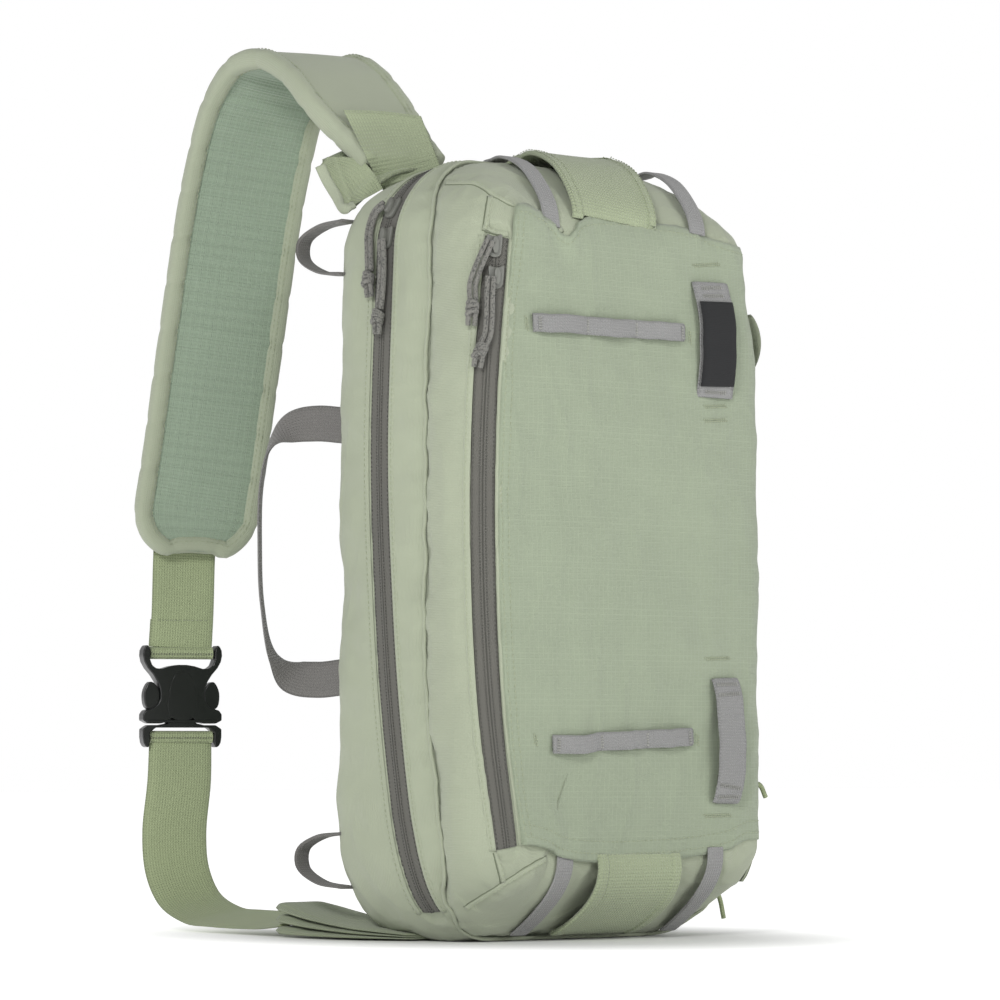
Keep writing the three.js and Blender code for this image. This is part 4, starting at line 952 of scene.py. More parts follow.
# Strips in the groove, from its floor up: width, thickness and height of the underside
TAPE_STRIP, COIL_STRIP, SLIT_STRIP = (-0.6, 0.9, -1.9), (2 * COIL_HALF, 0.6, -1.25), (0.9, 0.25, -0.68)
# Stitch rows: distance from the strip's edge, and lift
LIP_SEAM, COIL_SEAM, TAPE_SEAM = (0.6, 0.5), (0.85, -0.72), (2.6, -0.95)


def zipper(name, line, width):
    """Tape in its groove, a coil line with its stitches, a dark strip of painted shade along the coil's
    middle, and the folded cloth edges.
    """
    tape = laid_strip(line, width + TAPE_STRIP[0], *TAPE_STRIP[1:], across=9)
    coil = laid_strip(line, *COIL_STRIP)
    # A dark strip along the coil's middle: painted shade of the gap between the coil rows
    slit_shade = laid_strip(line, *SLIT_STRIP, across=3)
    part_piece(f"{name}_tape", [tape, coil, (*slit_shade, 1)], [TAPE, DARK_THREAD_AND_SLIT_SHADE], [name])
    for side, label in ((-1, "inner"), (1, "outer")):
        edge = beside_line(line, side * (width / 2 + LIP_WIDTH / 2 - LIP_OVERLAP), 0)
        lip = laid_strip(edge, LIP_WIDTH, LIP_THICKNESS, LIP_LOW)
        part_piece(f"{name}_edge_{label}", [lip], [BODY], [])
        seams = (("green", edge, LIP_SEAM[0], LIP_SEAM[1], LIP_STITCH),
                 ("dark", line, COIL_SEAM[0] * COIL_HALF, COIL_SEAM[1], COIL_STITCH),
                 ("dark", line, width / 2 - TAPE_SEAM[0], TAPE_SEAM[1], TAPE_STITCH))
        for colour, base, offset, lift, stitch in seams:
            sew(colour, stitches_on_body(beside_line(base, side * offset, 0), lift, *stitch))


zipper("main_zipper", MAIN_LINE, MAIN_ZIPPER_WIDTH)
zipper("front_zipper", FRONT_LINE, FRONT_ZIPPER_WIDTH)


def tree_of(parts):
    """One surface for lines of sight from several meshes of points and faces."""
    points, faces = [], []
    for part_points, part_faces in parts:
        faces += [tuple(i + len(points) for i in face) for face in part_faces]
        points += [Vector(point) for point in part_points]
    return BVHTree.FromPolygons(points, faces)


# What is sewn on from here lies on the dressed shells and the panel
PLAIN_TREE, TREE = TREE, tree_of(DRESSED)

# Welts: the turned edge of the cloth along each seam, and beside it a thin dark tube in the crease that is
# painted shade
WELTS = {"cap_left": 1, "foot_left": -1, "garage_left": 1, "garage_low": 1, "foot_patch": 1}
WELT_WIDTH, WELT_THICKNESS, WELT_LOW = 3.0, 1.5, -0.8
SHADE_LINE_RADIUS, SHADE_LINE_LOW = 0.4, -0.15
WELT_SEAM_AT, WELT_SEAM_LIFT = 0.72, WELT_THICKNESS - 0.95
welt_parts = []
for seam_name, side in WELTS.items():
    seam_line = SEAM_LINES[seam_name]
    edge = beside_line(seam_line, side * WELT_WIDTH / 2, 0)
    welt_parts.append(laid_strip(edge, WELT_WIDTH, WELT_THICKNESS, WELT_LOW, across=9))
    # A thin dark tube just beside the seam: painted shade in its crease
    crease = beside_line(seam_line, -side * SHADE_LINE_RADIUS, SHADE_LINE_LOW)
    welt_parts.append((*tube_part(crease, SHADE_LINE_RADIUS), 1))
    sewn_line = beside_line(seam_line, side * WELT_WIDTH * WELT_SEAM_AT, 0)
    sew("green", stitches_on_body(sewn_line, WELT_SEAM_LIFT, *SEAM_STITCH))
part_piece("seam_welts_and_shade_lines", welt_parts, [BODY, SEAM_SHADE_AND_POCKET_CREASE], [])


# Ribbons

RIBBON_POWER = 12


def squared(wides, along):
    """Width directions turned square to the way that a line runs."""
    wides = np.asarray(wides, float)
    return unit(wides - np.sum(wides * along, axis=1, keepdims=True) * along)


def ribbon_part(points, wides, width, thickness, across=9):
    """A closed ribbon with rounded edges along points, with a width direction for each."""
    points = np.asarray(points, float)
    along = tangents(points)
    wides = squared(wides, along)
    outs = np.cross(wides, along)
    u = np.linspace(-1, 1, across)
    face = np.sqrt(np.maximum(0, 1 - np.abs(u) ** RIBBON_POWER)) * thickness / 2
    offsets = np.concatenate([u, u[::-1]]) * width / 2
    lifts = np.concatenate([face, -face[::-1]])
    rows = points[:, None] + offsets[:, None] * wides[:, None] + lifts[:, None] * outs[:, None]
    return closed_strip(rows, offsets, length_along(points))


def stitches_beside(points, wides, offset, lift, stitch):
    """Stitches that run along a ribbon at an offset across it."""
    along = tangents(points)
    wides = squared(wides, along)
    outs = np.cross(wides, along)
    return thread_parts(points + wides * offset + outs * lift, outs, *stitch)


def strap_rows(table):
    """Rows of across, back, up, heading, lift as points and width directions."""
    table = np.array(table, float)
    points = np.stack([table[:, 0] * WIDTH, BACK_DEPTH + table[:, 1] * STRAP_REACH,
                       table[:, 2] * HEIGHT], axis=1)
    turn, rise = np.radians(table[:, 3]), np.radians(table[:, 4])
    wides = np.stack([np.cos(turn) * np.cos(rise), -np.sin(turn) * np.cos(rise), np.sin(rise)], axis=1)
    return points, wides


STRAP = [
    (-0.265, 0, 1.01, 0, 6), (-0.27, 0.1, 1.052, 0, 6), (-0.276, 0.2, 1.097, 0, 5),
    (-0.276, 0.3, 1.138, 2, 3), (-0.276, 0.42, 1.163, 6, 2), (-0.276, 0.54, 1.153, 11, 1),
    (-0.276, 0.64, 1.105, 16, 0), (-0.276, 0.71, 1.03, 19, 0), (-0.278, 0.77, 0.93, 20, 0),
    (-0.285, 0.81, 0.83, 20, 0), (-0.293, 0.845, 0.735, 20, 0), (-0.3, 0.88, 0.64, 20, 0),
    (-0.311, 0.905, 0.56, 20, 0), (-0.313, 0.908, 0.513, 20, 0),
]
STRAP_START = 0.78
STRAP_START_SHARE = 1 / 6
STRAP_STEPS = 150
BINDING = 10.5
strap_knots, strap_turns = strap_rows(STRAP)
strap_points = spline(strap_knots, STRAP_STEPS)
strap_along = tangents(strap_points)
strap_wides = squared(spline(strap_turns, STRAP_STEPS), strap_along)
strap_outs = np.cross(strap_along, strap_wides)
strap_length = length_along(strap_points)
strap_share = np.linspace(0, 1, STRAP_STEPS + 1)
from_end = np.clip((strap_length[-1] - strap_length) / STRAP_END_ROUND, 0, 1)
strap_half = (STRAP_START + (1 - STRAP_START) * smooth(strap_share / STRAP_START_SHARE)) * (
    STRAP_WIDTH / 2 - STRAP_END_ROUND + STRAP_END_ROUND * np.sqrt(1 - (1 - from_end) ** 2))


# Ribs of the mesh where the strap bends: height, pitch, start and end along it, fades of each
RIB_HEIGHT, RIB_PITCH, RIB_START, RIB_END, RIB_RISE, RIB_FALL = 0.7, 15.0, 70, 330.0, 50, 60
PAD_ACROSS, PAD_LEAST = 33, 2.0
PAD_TUCK, PAD_PUFF, PAD_SAG, SAG_SIZE = 0.45, 1.6, 0.5, (22.0, 2.0)
INNER_DEPTH, OUTER_DEPTH, OUTER_PUFF, OUTER_SAG = 2.4, 1.6, 0.6, 0.8


def strap_pad():
    """The padded middle of the strap: mesh on the inner face, cloth on the outer face."""
    u = np.linspace(-1, 1, PAD_ACROSS)
    both = np.concatenate([u, u[::-1]])
    puff = (1 - np.abs(u) ** 3.0) * PAD_PUFF
    rows = []
    for i, spot in enumerate(strap_points):
        s = strap_length[i]
        sag = np.array([PAD_SAG * ripple((a * 30, s, 0), *SAG_SIZE) for a in u])
        fade = smooth((RIB_END - s) / RIB_FALL) * smooth((s - RIB_START) / RIB_RISE)
        ribs = RIB_HEIGHT * math.sin(2 * math.pi * s / RIB_PITCH) * fade
        inner = STRAP_THICKNESS / 2 - INNER_DEPTH + puff + sag + ribs * (1 - u**4)
        outer = -(STRAP_THICKNESS / 2 - OUTER_DEPTH + puff * OUTER_PUFF + sag * OUTER_SAG)
        offsets = both * max(PAD_LEAST, strap_half[i] - BINDING * PAD_TUCK)
        lifts = np.concatenate([inner, outer[::-1]])
        rows.append(spot + offsets[:, None] * strap_wides[i] + lifts[:, None] * strap_outs[i])
    points, faces, uv = closed_strip(np.array(rows), both * STRAP_WIDTH / 2, strap_length)
    count = len(both)
    slots = [0 if i % count < PAD_ACROSS - 1 else 1 for i in range((len(rows) - 1) * count)] + [1, 1]
    return points, faces, uv, slots


pad_points, pad_faces, pad_uv, pad_slots = strap_pad()
pad = mesh_object("strap_pad", pad_points, pad_faces, pad_uv, [MESH, BODY], pad_slots)
settle(pad, ["shoulder_strap"])

# The binding's middle line lies inside the strap's edge by a share of the binding's width
BINDING_INSET, BINDING_TALL, BINDING_SPACING = 0.42, 0.58, 2.0
END_MARGIN, END_STEPS, END_ROUND = 5, 8, 0.45
BINDING_SIDES, SIDE_POWER, FACE_POWER = 20, 0.75, 0.8
TACK_PITCH, TACK_HALF, TACK_PINCH = 27.0, 2.4, 0.1
BINDING_BUMP, BUMP_SIZE, BUMP_ROUND = 0.16, (9.0, 8.0), 9
BINDING_CREASE, BINDING_CREASE_SIZE = 0.0525, (5.0, 1.0)
BINDING_SEAMS, SEAM_SINK = (-3.6, -1.6), 0.1
SEAM_POWER, SEAM_ROUND = 2.6, 0.4


def binding_line():
    """The strap's edge: down one side, round the lower end and up the other side."""
    inset = BINDING * BINDING_INSET
    keep = strap_half > STRAP_WIDTH / 2 - STRAP_END_ROUND + END_MARGIN
    reach = strap_wides[keep] * (strap_half[keep] - inset)[:, None]
    left, right = strap_points[keep] - reach, strap_points[keep] + reach
    drop = strap_along[-1] * (strap_length[-1] - strap_length[keep][-1] - inset)
    turned = [left[-1] * (1 - t) + right[-1] * t + drop * math.sin(math.pi * t) ** END_ROUND
              for t in np.linspace(0, 1, END_STEPS + 1)[1:-1]]
    outs = [strap_outs[keep], [strap_outs[-1]] * len(turned), strap_outs[keep][::-1]]
    return np.concatenate([left, turned, right[::-1]]), np.concatenate(outs)


bind_line, bind_outs = binding_line()
bind_path = even(bind_line, BINDING_SPACING)
bind_s = length_along(bind_line)
bind_at = length_along(bind_path)
bind_out = unit(picked_at(bind_at * bind_s[-1] / bind_at[-1], bind_s, bind_outs))
bind_beside = unit(np.cross(bind_out, tangents(bind_path)))


def binding_part():
    """The binding: a flattened roll that is pinched at its tacks and creased between them."""
    turns = np.arange(BINDING_SIDES) / BINDING_SIDES * math.pi
    rows = []
    for spot, beside, out, s in zip(bind_path, bind_beside, bind_out, bind_at):
        phase = (s % TACK_PITCH) / TACK_PITCH
        pinch = math.exp(-(min(phase, 1 - phase) * TACK_PITCH / TACK_HALF) ** 2)
        radius = 1 - TACK_PINCH * pinch
        crease = BINDING_CREASE * ripple((s, 0, 0), *BINDING_CREASE_SIZE)
        for turn in 2 * turns:
            c, up = math.cos(turn), math.sin(turn)
            bump = BINDING_BUMP * ripple((s, BUMP_ROUND * c, BUMP_ROUND * up), *BUMP_SIZE) + crease
            wide = math.copysign(abs(c) ** SIDE_POWER, c) * BINDING / 2
            tall = math.copysign(abs(up) ** FACE_POWER, up) * BINDING * BINDING_TALL
            rows.append(spot + beside * (wide * radius + bump * c) + out * (tall * radius + bump * up))
    rows = np.array(rows).reshape(len(bind_path), BINDING_SIDES, 3)
    return closed_strip(rows, turns * BINDING, bind_at)


binding = binding_part()
part_piece("strap_binding", [binding], [BODY], [])
for face in (1, -1):
    for offset in BINDING_SEAMS:
        rounded_off = (1 - abs(offset / (BINDING / 2)) ** SEAM_POWER) ** SEAM_ROUND
        lift = BINDING * BINDING_TALL * rounded_off - SEAM_SINK
        sew("green", thread_parts(bind_path - bind_beside * offset + bind_out * face * lift,
                                  bind_out * face, *SEAM_STITCH))


def on_strap(first, last):
    """Points on the strap's outer face between two rows of STRAP."""
    span = STRAP_STEPS / (len(STRAP) - 1)
    picked = slice(int(round(first * span)), int(round(last * span)) + 1)
    rise = STRAP_THICKNESS / 2 + GAP + WEBBING / 2
    return strap_points[picked] - strap_outs[picked] * rise, strap_wides[picked]


def closed_sheet(front, back, size):
    """A closed slab between two grids of points; size is its width and height."""
    count, wide = front.shape[:2]
    grid = np.concatenate([front, back[::-1]])
    uv = grid_uv(np.arange(wide) / wide * size[0], np.arange(2 * count) / count * size[1])
    faces = lattice(2 * count, wide)
    last = (2 * count - 1) * wide
    faces += [(last + c, last + c + 1, c + 1, c) for c in range(wide - 1)]
    for edge in (0, wide - 1):
        loop = [r * wide + edge for r in range(2 * count)]
        faces.append(tuple(loop if edge else loop[::-1]))
    return grid.reshape(-1, 3), faces, uv


DRAPE_STEPS, DRAPE_RELAX = 30, 400


def draped(high_edge, low_edge, tree, lift, folds=()):
    """Cloth between two lines of pixels, laid over what stands behind it."""
    high, low = (spline(np.array(edge, float), DRAPE_STEPS) for edge in (high_edge, low_edge))
    pixels = np.array([high + (low - high) * t for t in np.linspace(0, 1, DRAPE_STEPS + 1)])
    ways = np.array([[sight(*pixel) for pixel in row] for row in pixels])
    limit = np.full(ways.shape[:2], np.inf)
    for spot in np.ndindex(limit.shape):
        distance = tree.ray_cast(Vector(EYE), Vector(ways[spot]))[3]
        if distance is not None:
            limit[spot] = distance - lift
    depth = np.where(np.isinf(limit), limit[np.isfinite(limit)].mean(), limit)
    for _ in range(DRAPE_RELAX):
        wide = np.pad(depth, 1, mode="edge")
        depth = (wide[:-2, 1:-1] + wide[2:, 1:-1] + wide[1:-1, :-2] + wide[1:-1, 2:]) / 4
        depth = np.minimum(depth, limit)
    for start, end, half_width, height in folds:
        start, end = np.array(start, float), np.array(end, float)
        reach = end - start
        share = np.clip((pixels - start) @ reach / (reach @ reach), 0, 1)
        away = np.linalg.norm(pixels - start - share[..., None] * reach, axis=-1)
        depth = depth - height * np.exp(-(away / half_width) ** 2)
    return EYE + ways * depth[..., None], ways


LASH_WIDTH, LASH_ROWS = 20.0, (7, 11)
ANCHOR_SIZE = (48.0, 40.0)
ANCHOR_HIGH = [(343, 110), (380, 111), (421, 116)]
ANCHOR_LOW = [(381, 188), (410, 180), (441, 168)]
ANCHOR_LIFT, ANCHOR_SEAMS, FOOT_STEPS, FACE_LIFT = WEBBING + 0.8, (0.06, 0.8), 8, 0.1


def strap_anchor():
    """Webbing over the strap's upper end, with a foot that is sewn down to the body."""
    strap_tree = tree_of([(pad_points, pad_faces), binding[:2]])
    anchor, ways = draped(ANCHOR_HIGH, ANCHOR_LOW, strap_tree, ANCHOR_LIFT)
    sewn_down = np.array([spot + out * WEBBING for spot, out in map(nearest, anchor[-1])])
    foot = np.array([anchor[-1] + (sewn_down - anchor[-1]) * t for t in np.linspace(0, 1, FOOT_STEPS)])
    parts = [closed_sheet(grid, grid + ways[-1] * WEBBING, ANCHOR_SIZE) for grid in (anchor, foot)]
    part_piece("strap_anchor", parts, [TEXTURED], ["strap_anchor_webbing"])
    for share in ANCHOR_SEAMS:
        row = int(share * (len(anchor) - 1))
        line, outs = anchor[row, 1:-1], -ways[row, 1:-1]
        sew("green", thread_parts(line + outs * FACE_LIFT, outs, *FINE_STITCH))


strap_anchor()
lash_points, lash_wides = on_strap(*LASH_ROWS)
part_piece("strap_lash", [ribbon_part(lash_points, lash_wides, LASH_WIDTH, WEBBING)], [GREY],
           ["strap_lash_webbing"])


# Wings that join the strap to the body

def strap_spot(across, back, up):
    return np.array([across * WIDTH, BACK_DEPTH + back * STRAP_REACH, up * HEIGHT])


WING_LOW = [(-0.46, -0.02, 0.935), (-0.3, -0.03, 0.992), (-0.08, -0.02, 0.997)]
WING_HIGH = [(-0.42, 0.15, 1.01), (-0.28, 0.16, 1.036), (-0.12, 0.17, 1.042)]
WING_TOP_EDGE = [(327, 157), (345, 157), (361, 160), (373, 172), (383, 189)]
WING_LOW_EDGE = [(318, 168), (325, 183), (334, 198), (342, 211), (352, 206)]
WING_FOLDS = [((334, 155), (350, 198), 3.5, 2.2), ((374, 178), (343, 205), 3.0, 1.8)]
WING_SIZE = (60.0, 25.0)
WING_THICKNESS, WING_CLOTH, WING_LIFT = 2.5, 1.2, 1.6
WING_STEPS, WING_ROWS, WING_BOW, WING_UNDER_SIZE = 40, 24, 1.5, (92.25, 40.0)
TRIM_WIDTH, TRIM_INSET, TRIM_LIFT, TRIM_BACK = 6.0, 0.3, 0.8, 4


def under_wing(low, high):
    """A closed sheet between two lines of points, bowed outwards in its middle."""
    a, b = spline(low, WING_STEPS), spline(high, WING_STEPS)
    outs = unit(np.cross(b - a, tangents(a)))
    top = np.array([a + (b - a) * t + outs * WING_BOW * math.sin(math.pi * t)
                    for t in np.linspace(0, 1, WING_ROWS)])
    return closed_sheet(top, top - outs * WING_THICKNESS, WING_UNDER_SIZE)


def upper_wing():
    """The wing's sheet, the folded cloth that shows on it and the trim on the cloth's edge."""
    under = under_wing([strap_spot(*p) for p in WING_LOW], [strap_spot(*p) for p in WING_HIGH])
    front, ways = draped(WING_TOP_EDGE, WING_LOW_EDGE, tree_of([under[:2]]), WING_LIFT, WING_FOLDS)
    wides = unit(front[-1] - front[-TRIM_BACK])
    line = front[-1] - ways[-1] * TRIM_LIFT - wides * TRIM_WIDTH * TRIM_INSET
    trim = ribbon_part(line, wides, TRIM_WIDTH, WING_THICKNESS)
    cloth_part = closed_sheet(front, front + ways * WING_CLOTH, WING_SIZE)
    part_piece("strap_wing_upper", [under, cloth_part, (*trim, 1)], [TEXTURED, BODY],
               ["strap_wing_top"])


upper_wing()

FOLD_HIGH = 20.0
# from (across, back), to (across, back), underside and thickness as shares of FOLD_HIGH
FOOT_WING = [((-0.4, -0.2), (-0.3, -0.22), 0.03, 0.15), ((-0.47, -0.05), (-0.29, -0.02), 0.03, 0.35),
             ((-0.49, 0.12), (-0.27, 0.14), 0.03, 0.65), ((-0.475, 0.28), (-0.29, 0.3), 0.04, 0.95)]
LAYERS, LAYER_SHARE, LAYER_FLOOR = 3, 0.86, 0.2
FOOT_ROWS, FOOT_ACROSS, FOOT_POWER = 30, 17, 6
WOBBLE, WOBBLE_SIZE, WOBBLE_STEP = 0.5, (16.0, 4.0), (40, 3.0, 9)
FOOT_WEAVE = (1.5, 3.0)


def foot_layer(index):
    """One layer of the folded cloth at the foot of the strap."""
    side_a, side_b = (spline([strap_spot(*row[k], 0) for row in FOOT_WING], FOOT_ROWS) for k in (0, 1))
    low, thick = (np.array([row[k] for row in FOOT_WING]) for k in (2, 3))
    z_low, z_high = (spline((FOLD_HIGH * (low + thick * share))[:, None], FOOT_ROWS)[:, 0]
                     for share in (index / LAYERS, (index + LAYER_SHARE) / LAYERS))
    u = np.linspace(0, 1, FOOT_ACROSS)
    edge = np.sqrt(np.maximum(0, 1 - np.abs(2 * u - 1) ** FOOT_POWER))
    step_u, step_row, step_layer = WOBBLE_STEP
    rows = []
    for i in range(FOOT_ROWS + 1):
        wobble = np.array([ripple((x * step_u, i * step_row, index * step_layer), *WOBBLE_SIZE) for x in u])
        line = side_a[i] + (side_b[i] - side_a[i]) * u[:, None]
        middle, half = (z_low[i] + z_high[i]) / 2, (z_high[i] - z_low[i]) / 2 * edge
        up = line + np.outer(middle + half + wobble * WOBBLE * edge, (0, 0, 1))
        down = line + np.outer(np.maximum(LAYER_FLOOR, middle - half), (0, 0, 1))
        rows.append(np.concatenate([up, down[::-1]]))
    return closed_strip(np.array(rows), np.arange(2 * FOOT_ACROSS) * FOOT_WEAVE[0],
                        np.arange(FOOT_ROWS + 1) * FOOT_WEAVE[1])


part_piece("strap_wing_lower", [foot_layer(i) for i in range(LAYERS)], [TEXTURED],
           ["strap_wing_bottom"])


# Webbing of the strap and its buckle

UPPER = [(-0.316, 0.948, 0.575, 20, 0), (-0.32, 0.952, 0.5, 20, 0), (-0.32, 0.958, 0.43, 20, 0),
         (-0.32, 0.967, 0.3825, 21, 0)]
LOWER = [(-0.32, 0.967, 0.2535, 21, 0), (-0.32, 0.972, 0.2, 25, 0), (-0.32, 0.995, 0.13, 28, 2),
         (-0.32, 0.98, 0.08, 26, 5), (-0.32, 0.92, 0.042, 20, 9), (-0.325, 0.8, 0.021, 12, 13),
         (-0.338, 0.66, 0.018, 8, 14), (-0.356, 0.44, 0.018, 4, 14), (-0.382, 0.27, 0.021, 0, 10)]
BUCKLE = [(-0.32, 0.967, 0.317, 21, 0)]
BUCKLE_WIDTH, BUCKLE_HEIGHT, BUCKLE_THICKNESS = 49.0, 60.0, 9.0
STRAP_WEBBING = 38.0
BAR_TOP, BAR_LOW = 0.415, -0.40
buckle_middle, buckle_wide = (a[0] for a in strap_rows(BUCKLE))
buckle_up = np.array([0, 0, 1.0])
buckle_out = np.cross(buckle_wide, buckle_up)


def buckle_spot(across, up, out=0.0):
    return (buckle_middle + buckle_wide * across * BUCKLE_WIDTH + buckle_up * up * BUCKLE_HEIGHT
            + buckle_out * out)


SLEEVE_RADIUS, SLEEVE_FLAT, SLEEVE_SIDES, SLEEVE_ACROSS, SLEEVE_WEAVE = 3.6, 0.85, 17, 13, 1.3


def bar_sleeve(up):
    """The fold of webbing round a bar of the buckle."""
    u = np.linspace(-0.5, 0.5, SLEEVE_ACROSS) * STRAP_WEBBING
    turns = np.arange(SLEEVE_SIDES) * 2 * math.pi / SLEEVE_SIDES
    rings = SLEEVE_RADIUS * (np.outer(np.sin(turns), buckle_up)
                             + np.outer(np.cos(turns) * SLEEVE_FLAT, buckle_out))
    rows = buckle_spot(0, up) + u[:, None] * buckle_wide + rings[:, None]
    last = SLEEVE_SIDES - 1
    faces = lattice(SLEEVE_SIDES, SLEEVE_ACROSS)
    faces += [(last * SLEEVE_ACROSS + c, last * SLEEVE_ACROSS + c + 1, c + 1, c)
              for c in range(SLEEVE_ACROSS - 1)]
    faces.append(tuple(r * SLEEVE_ACROSS for r in range(last, -1, -1)))
    faces.append(tuple((r + 1) * SLEEVE_ACROSS - 1 for r in range(SLEEVE_SIDES)))
    return rows.reshape(-1, 3), faces, grid_uv(u, np.arange(SLEEVE_SIDES) * SLEEVE_WEAVE)


WEBBING_STEPS, WEBBING_ACROSS = 120, 15
# The upper webbing is doubled from this step on, under a seam
FOLD_STEP, FOLD_CLEARANCE, SEAM_HALF_WIDTH, SEAM_SPACING = 88, 0.05, 16, 2.0
SEAM_FRONT, SEAM_BACK = WEBBING + 1.0, -1.0


def long_webbing(name, table, bar, node, doubled):
    """Webbing from the strap to a bar of the buckle."""
    knots, turns = strap_rows(table)
    points, wides = spline(knots, WEBBING_STEPS), spline(turns, WEBBING_STEPS)
    parts = [ribbon_part(points, wides, STRAP_WEBBING, WEBBING, WEBBING_ACROSS), bar_sleeve(bar)]
    if doubled:
        outs = unit(np.cross(wides, tangents(points)))
        over = (points + outs * (WEBBING + FOLD_CLEARANCE))[FOLD_STEP:]
        parts.append(ribbon_part(over, wides[FOLD_STEP:], STRAP_WEBBING, WEBBING, WEBBING_ACROSS))
        reach = wides[FOLD_STEP] * SEAM_HALF_WIDTH
        line = even([points[FOLD_STEP] - reach, points[FOLD_STEP] + reach], SEAM_SPACING)
        facing = np.repeat([outs[FOLD_STEP]], len(line), axis=0)
        for lift in (SEAM_FRONT, SEAM_BACK):
            sew("green", thread_parts(line + facing * lift, facing * np.sign(lift), *FINE_STITCH))
    part_piece(name, parts, [GREEN], [node])


long_webbing("strap_webbing_upper", UPPER, BAR_TOP, "upper_webbing", True)
long_webbing("strap_webbing_lower", LOWER, BAR_LOW, "lower_webbing", False)

SOCKET = [(0.1, 0.3), (0.3, 0.25), (0.4, 0.31), (0.405, 0.47), (0.45, 0.5), (0.5, 0.42), (0.47, 0.3),
          (0.33, 0.17), (0.27, 0.05), (0.28, -0.06), (0.36, -0.12), (0.49, -0.15), (0.49, -0.27),
          (0.2, -0.27), (0.1, -0.2)]
SHOULDER = [(0.3, -0.13), (0.45, -0.14), (0.48, 0.02), (0.42, 0.13), (0.36, 0.14), (0.26, 0.05)]
PRONG = [(0.1, -0.31), (0.4, -0.31), (0.4, -0.5), (0.45, -0.5), (0.49, -0.44), (0.49, -0.285),
         (0.2, -0.285), (0.1, -0.215)]


def mirrored(half):
    return list(half) + [(-a, b) for a, b in reversed(half)]


PLATE_SEGMENTS, PLATE_ANGLE = 3, 25


def plate(name, shape, thickness, bevel):
    """A moulded plate of the buckle with rounded edges."""
    count = len(shape)
    points = [buckle_spot(a, b, side * thickness / 2) for side in (-1, 1) for a, b in shape]
    area = sum(shape[i - 1][0] * shape[i][1] - shape[i][0] * shape[i - 1][1] for i in range(count))
    order = list(range(count)) if area > 0 else list(range(count - 1, -1, -1))
    faces = [tuple(reversed(order)), tuple(i + count for i in order)]
    for k in range(count):
        i, j = order[k], order[(k + 1) % count]
        faces.append((i, j, j + count, i + count))
    piece = mesh_object(name, points, faces, None, [PLASTIC])
    rounding = piece.modifiers.new("rounding", "BEVEL")
    rounding.width = bevel * MM
    rounding.segments = PLATE_SEGMENTS
    rounding.limit_method = "ANGLE"
    rounding.angle_limit = math.radians(PLATE_ANGLE)
    rounding.harden_normals = True
    return piece


def rounded(shape, rounds):
    """Corner cutting that turns a rough outline into a soft one."""
    for _ in range(rounds):
        pairs = [(np.array(spot), np.array(shape[(i + 1) % len(shape)])) for i, spot in enumerate(shape)]
        shape = [tuple(a + (b - a) * share) for a, b in pairs for share in (0.25, 0.75)]
    return shape


def rect(half, low, high):
    return [(-half, low), (half, low), (half, high), (-half, high)]


BAR_HALF, BAR_THIN, BAR_THICKNESS = 0.43, 0.03, 3.6
RIDGE = [(-0.2, -0.24), (0.2, -0.24), (0.16, 0.1), (0.07, 0.24), (-0.07, 0.24), (-0.16, 0.1)]
LIP = rect(0.44, -0.262, -0.235)
# name, outline, rounds of corner cutting, thickness, bevel, node
BUCKLE_PLATES = [
    ("buckle_body", mirrored(SOCKET), 1, BUCKLE_THICKNESS, 1.4, ["buckle_socket"]),
    ("buckle_frame", mirrored(PRONG), 1, 8.1, 1.2, ["buckle_prong"]),
    ("buckle_button_right", SHOULDER, 2, 6.3, 1.6, []),
    ("buckle_button_left", [(-a, b) for a, b in SHOULDER[::-1]], 2, 6.3, 1.6, []),
    ("buckle_bar_upper", rect(BAR_HALF, BAR_TOP - BAR_THIN, BAR_TOP + BAR_THIN), 0, BAR_THICKNESS, 1.0, []),
    ("buckle_bar_lower", rect(BAR_HALF, BAR_LOW - BAR_THIN, BAR_LOW + BAR_THIN), 0, BAR_THICKNESS, 1.0, []),
    ("buckle_ridge", RIDGE, 2, BUCKLE_THICKNESS + 0.3, 0.1, []),
    ("buckle_lip", LIP, 0, BUCKLE_THICKNESS + 0.7, 0.5, []),
]
for label, shape, rounds, thick, bevel, nodes in BUCKLE_PLATES:
    settle(plate(label, rounded(shape, rounds), thick, bevel), nodes)


# Grey webbing in the back left seam

# The directions that the webbing's width turns through
UPRIGHT, NEAR_UPRIGHT, TURNING = (0, 0, 1), (0, 0.1, 1), (0.2, 0.35, 0.9)
NEAR_SIDE, SIDE_SIGHT, FLAT = (0.6, 0.66, 0.4), (0.67, 0.74, 0), (1, 0.15, 0)
# point as shares of WIDTH, BACK_DEPTH and HEIGHT, then the width's direction
SIDE_HANDLE = [
    ((-0.478, 0.9, 0.66), UPRIGHT), ((-0.5, 1.2, 0.664), NEAR_UPRIGHT),
    ((-0.528, 1.42, 0.66), TURNING), ((-0.56, 1.56, 0.64), NEAR_SIDE),
    ((-0.58, 1.62, 0.59), SIDE_SIGHT), ((-0.586, 1.62, 0.5), SIDE_SIGHT),
    ((-0.58, 1.61, 0.43), SIDE_SIGHT), ((-0.562, 1.54, 0.365), NEAR_SIDE),
    ((-0.53, 1.4, 0.338), TURNING), ((-0.5, 1.18, 0.333), NEAR_UPRIGHT),
    ((-0.478, 0.9, 0.336), UPRIGHT),
]
LOOP_REACH = [(-0.475, 0.86, 0.036), (-0.482, 1.2, 0.031), (-0.49, 1.42, 0.014),
              (-0.49, 1.42, -0.008), (-0.482, 1.2, -0.027), (-0.475, 0.86, -0.033)]
HANDLE_WIDTH, LOOP_WIDTH, DAISY_WIDTH, TAB_WIDTH, CARRY_WIDTH = 20.0, 12.0, 10.0, 21.0, 63.0
HANDLE_STEPS, LOOP_STEPS, LOOP_PLACES = 110, 50, (("upper", 0.888), ("lower", 0.1))


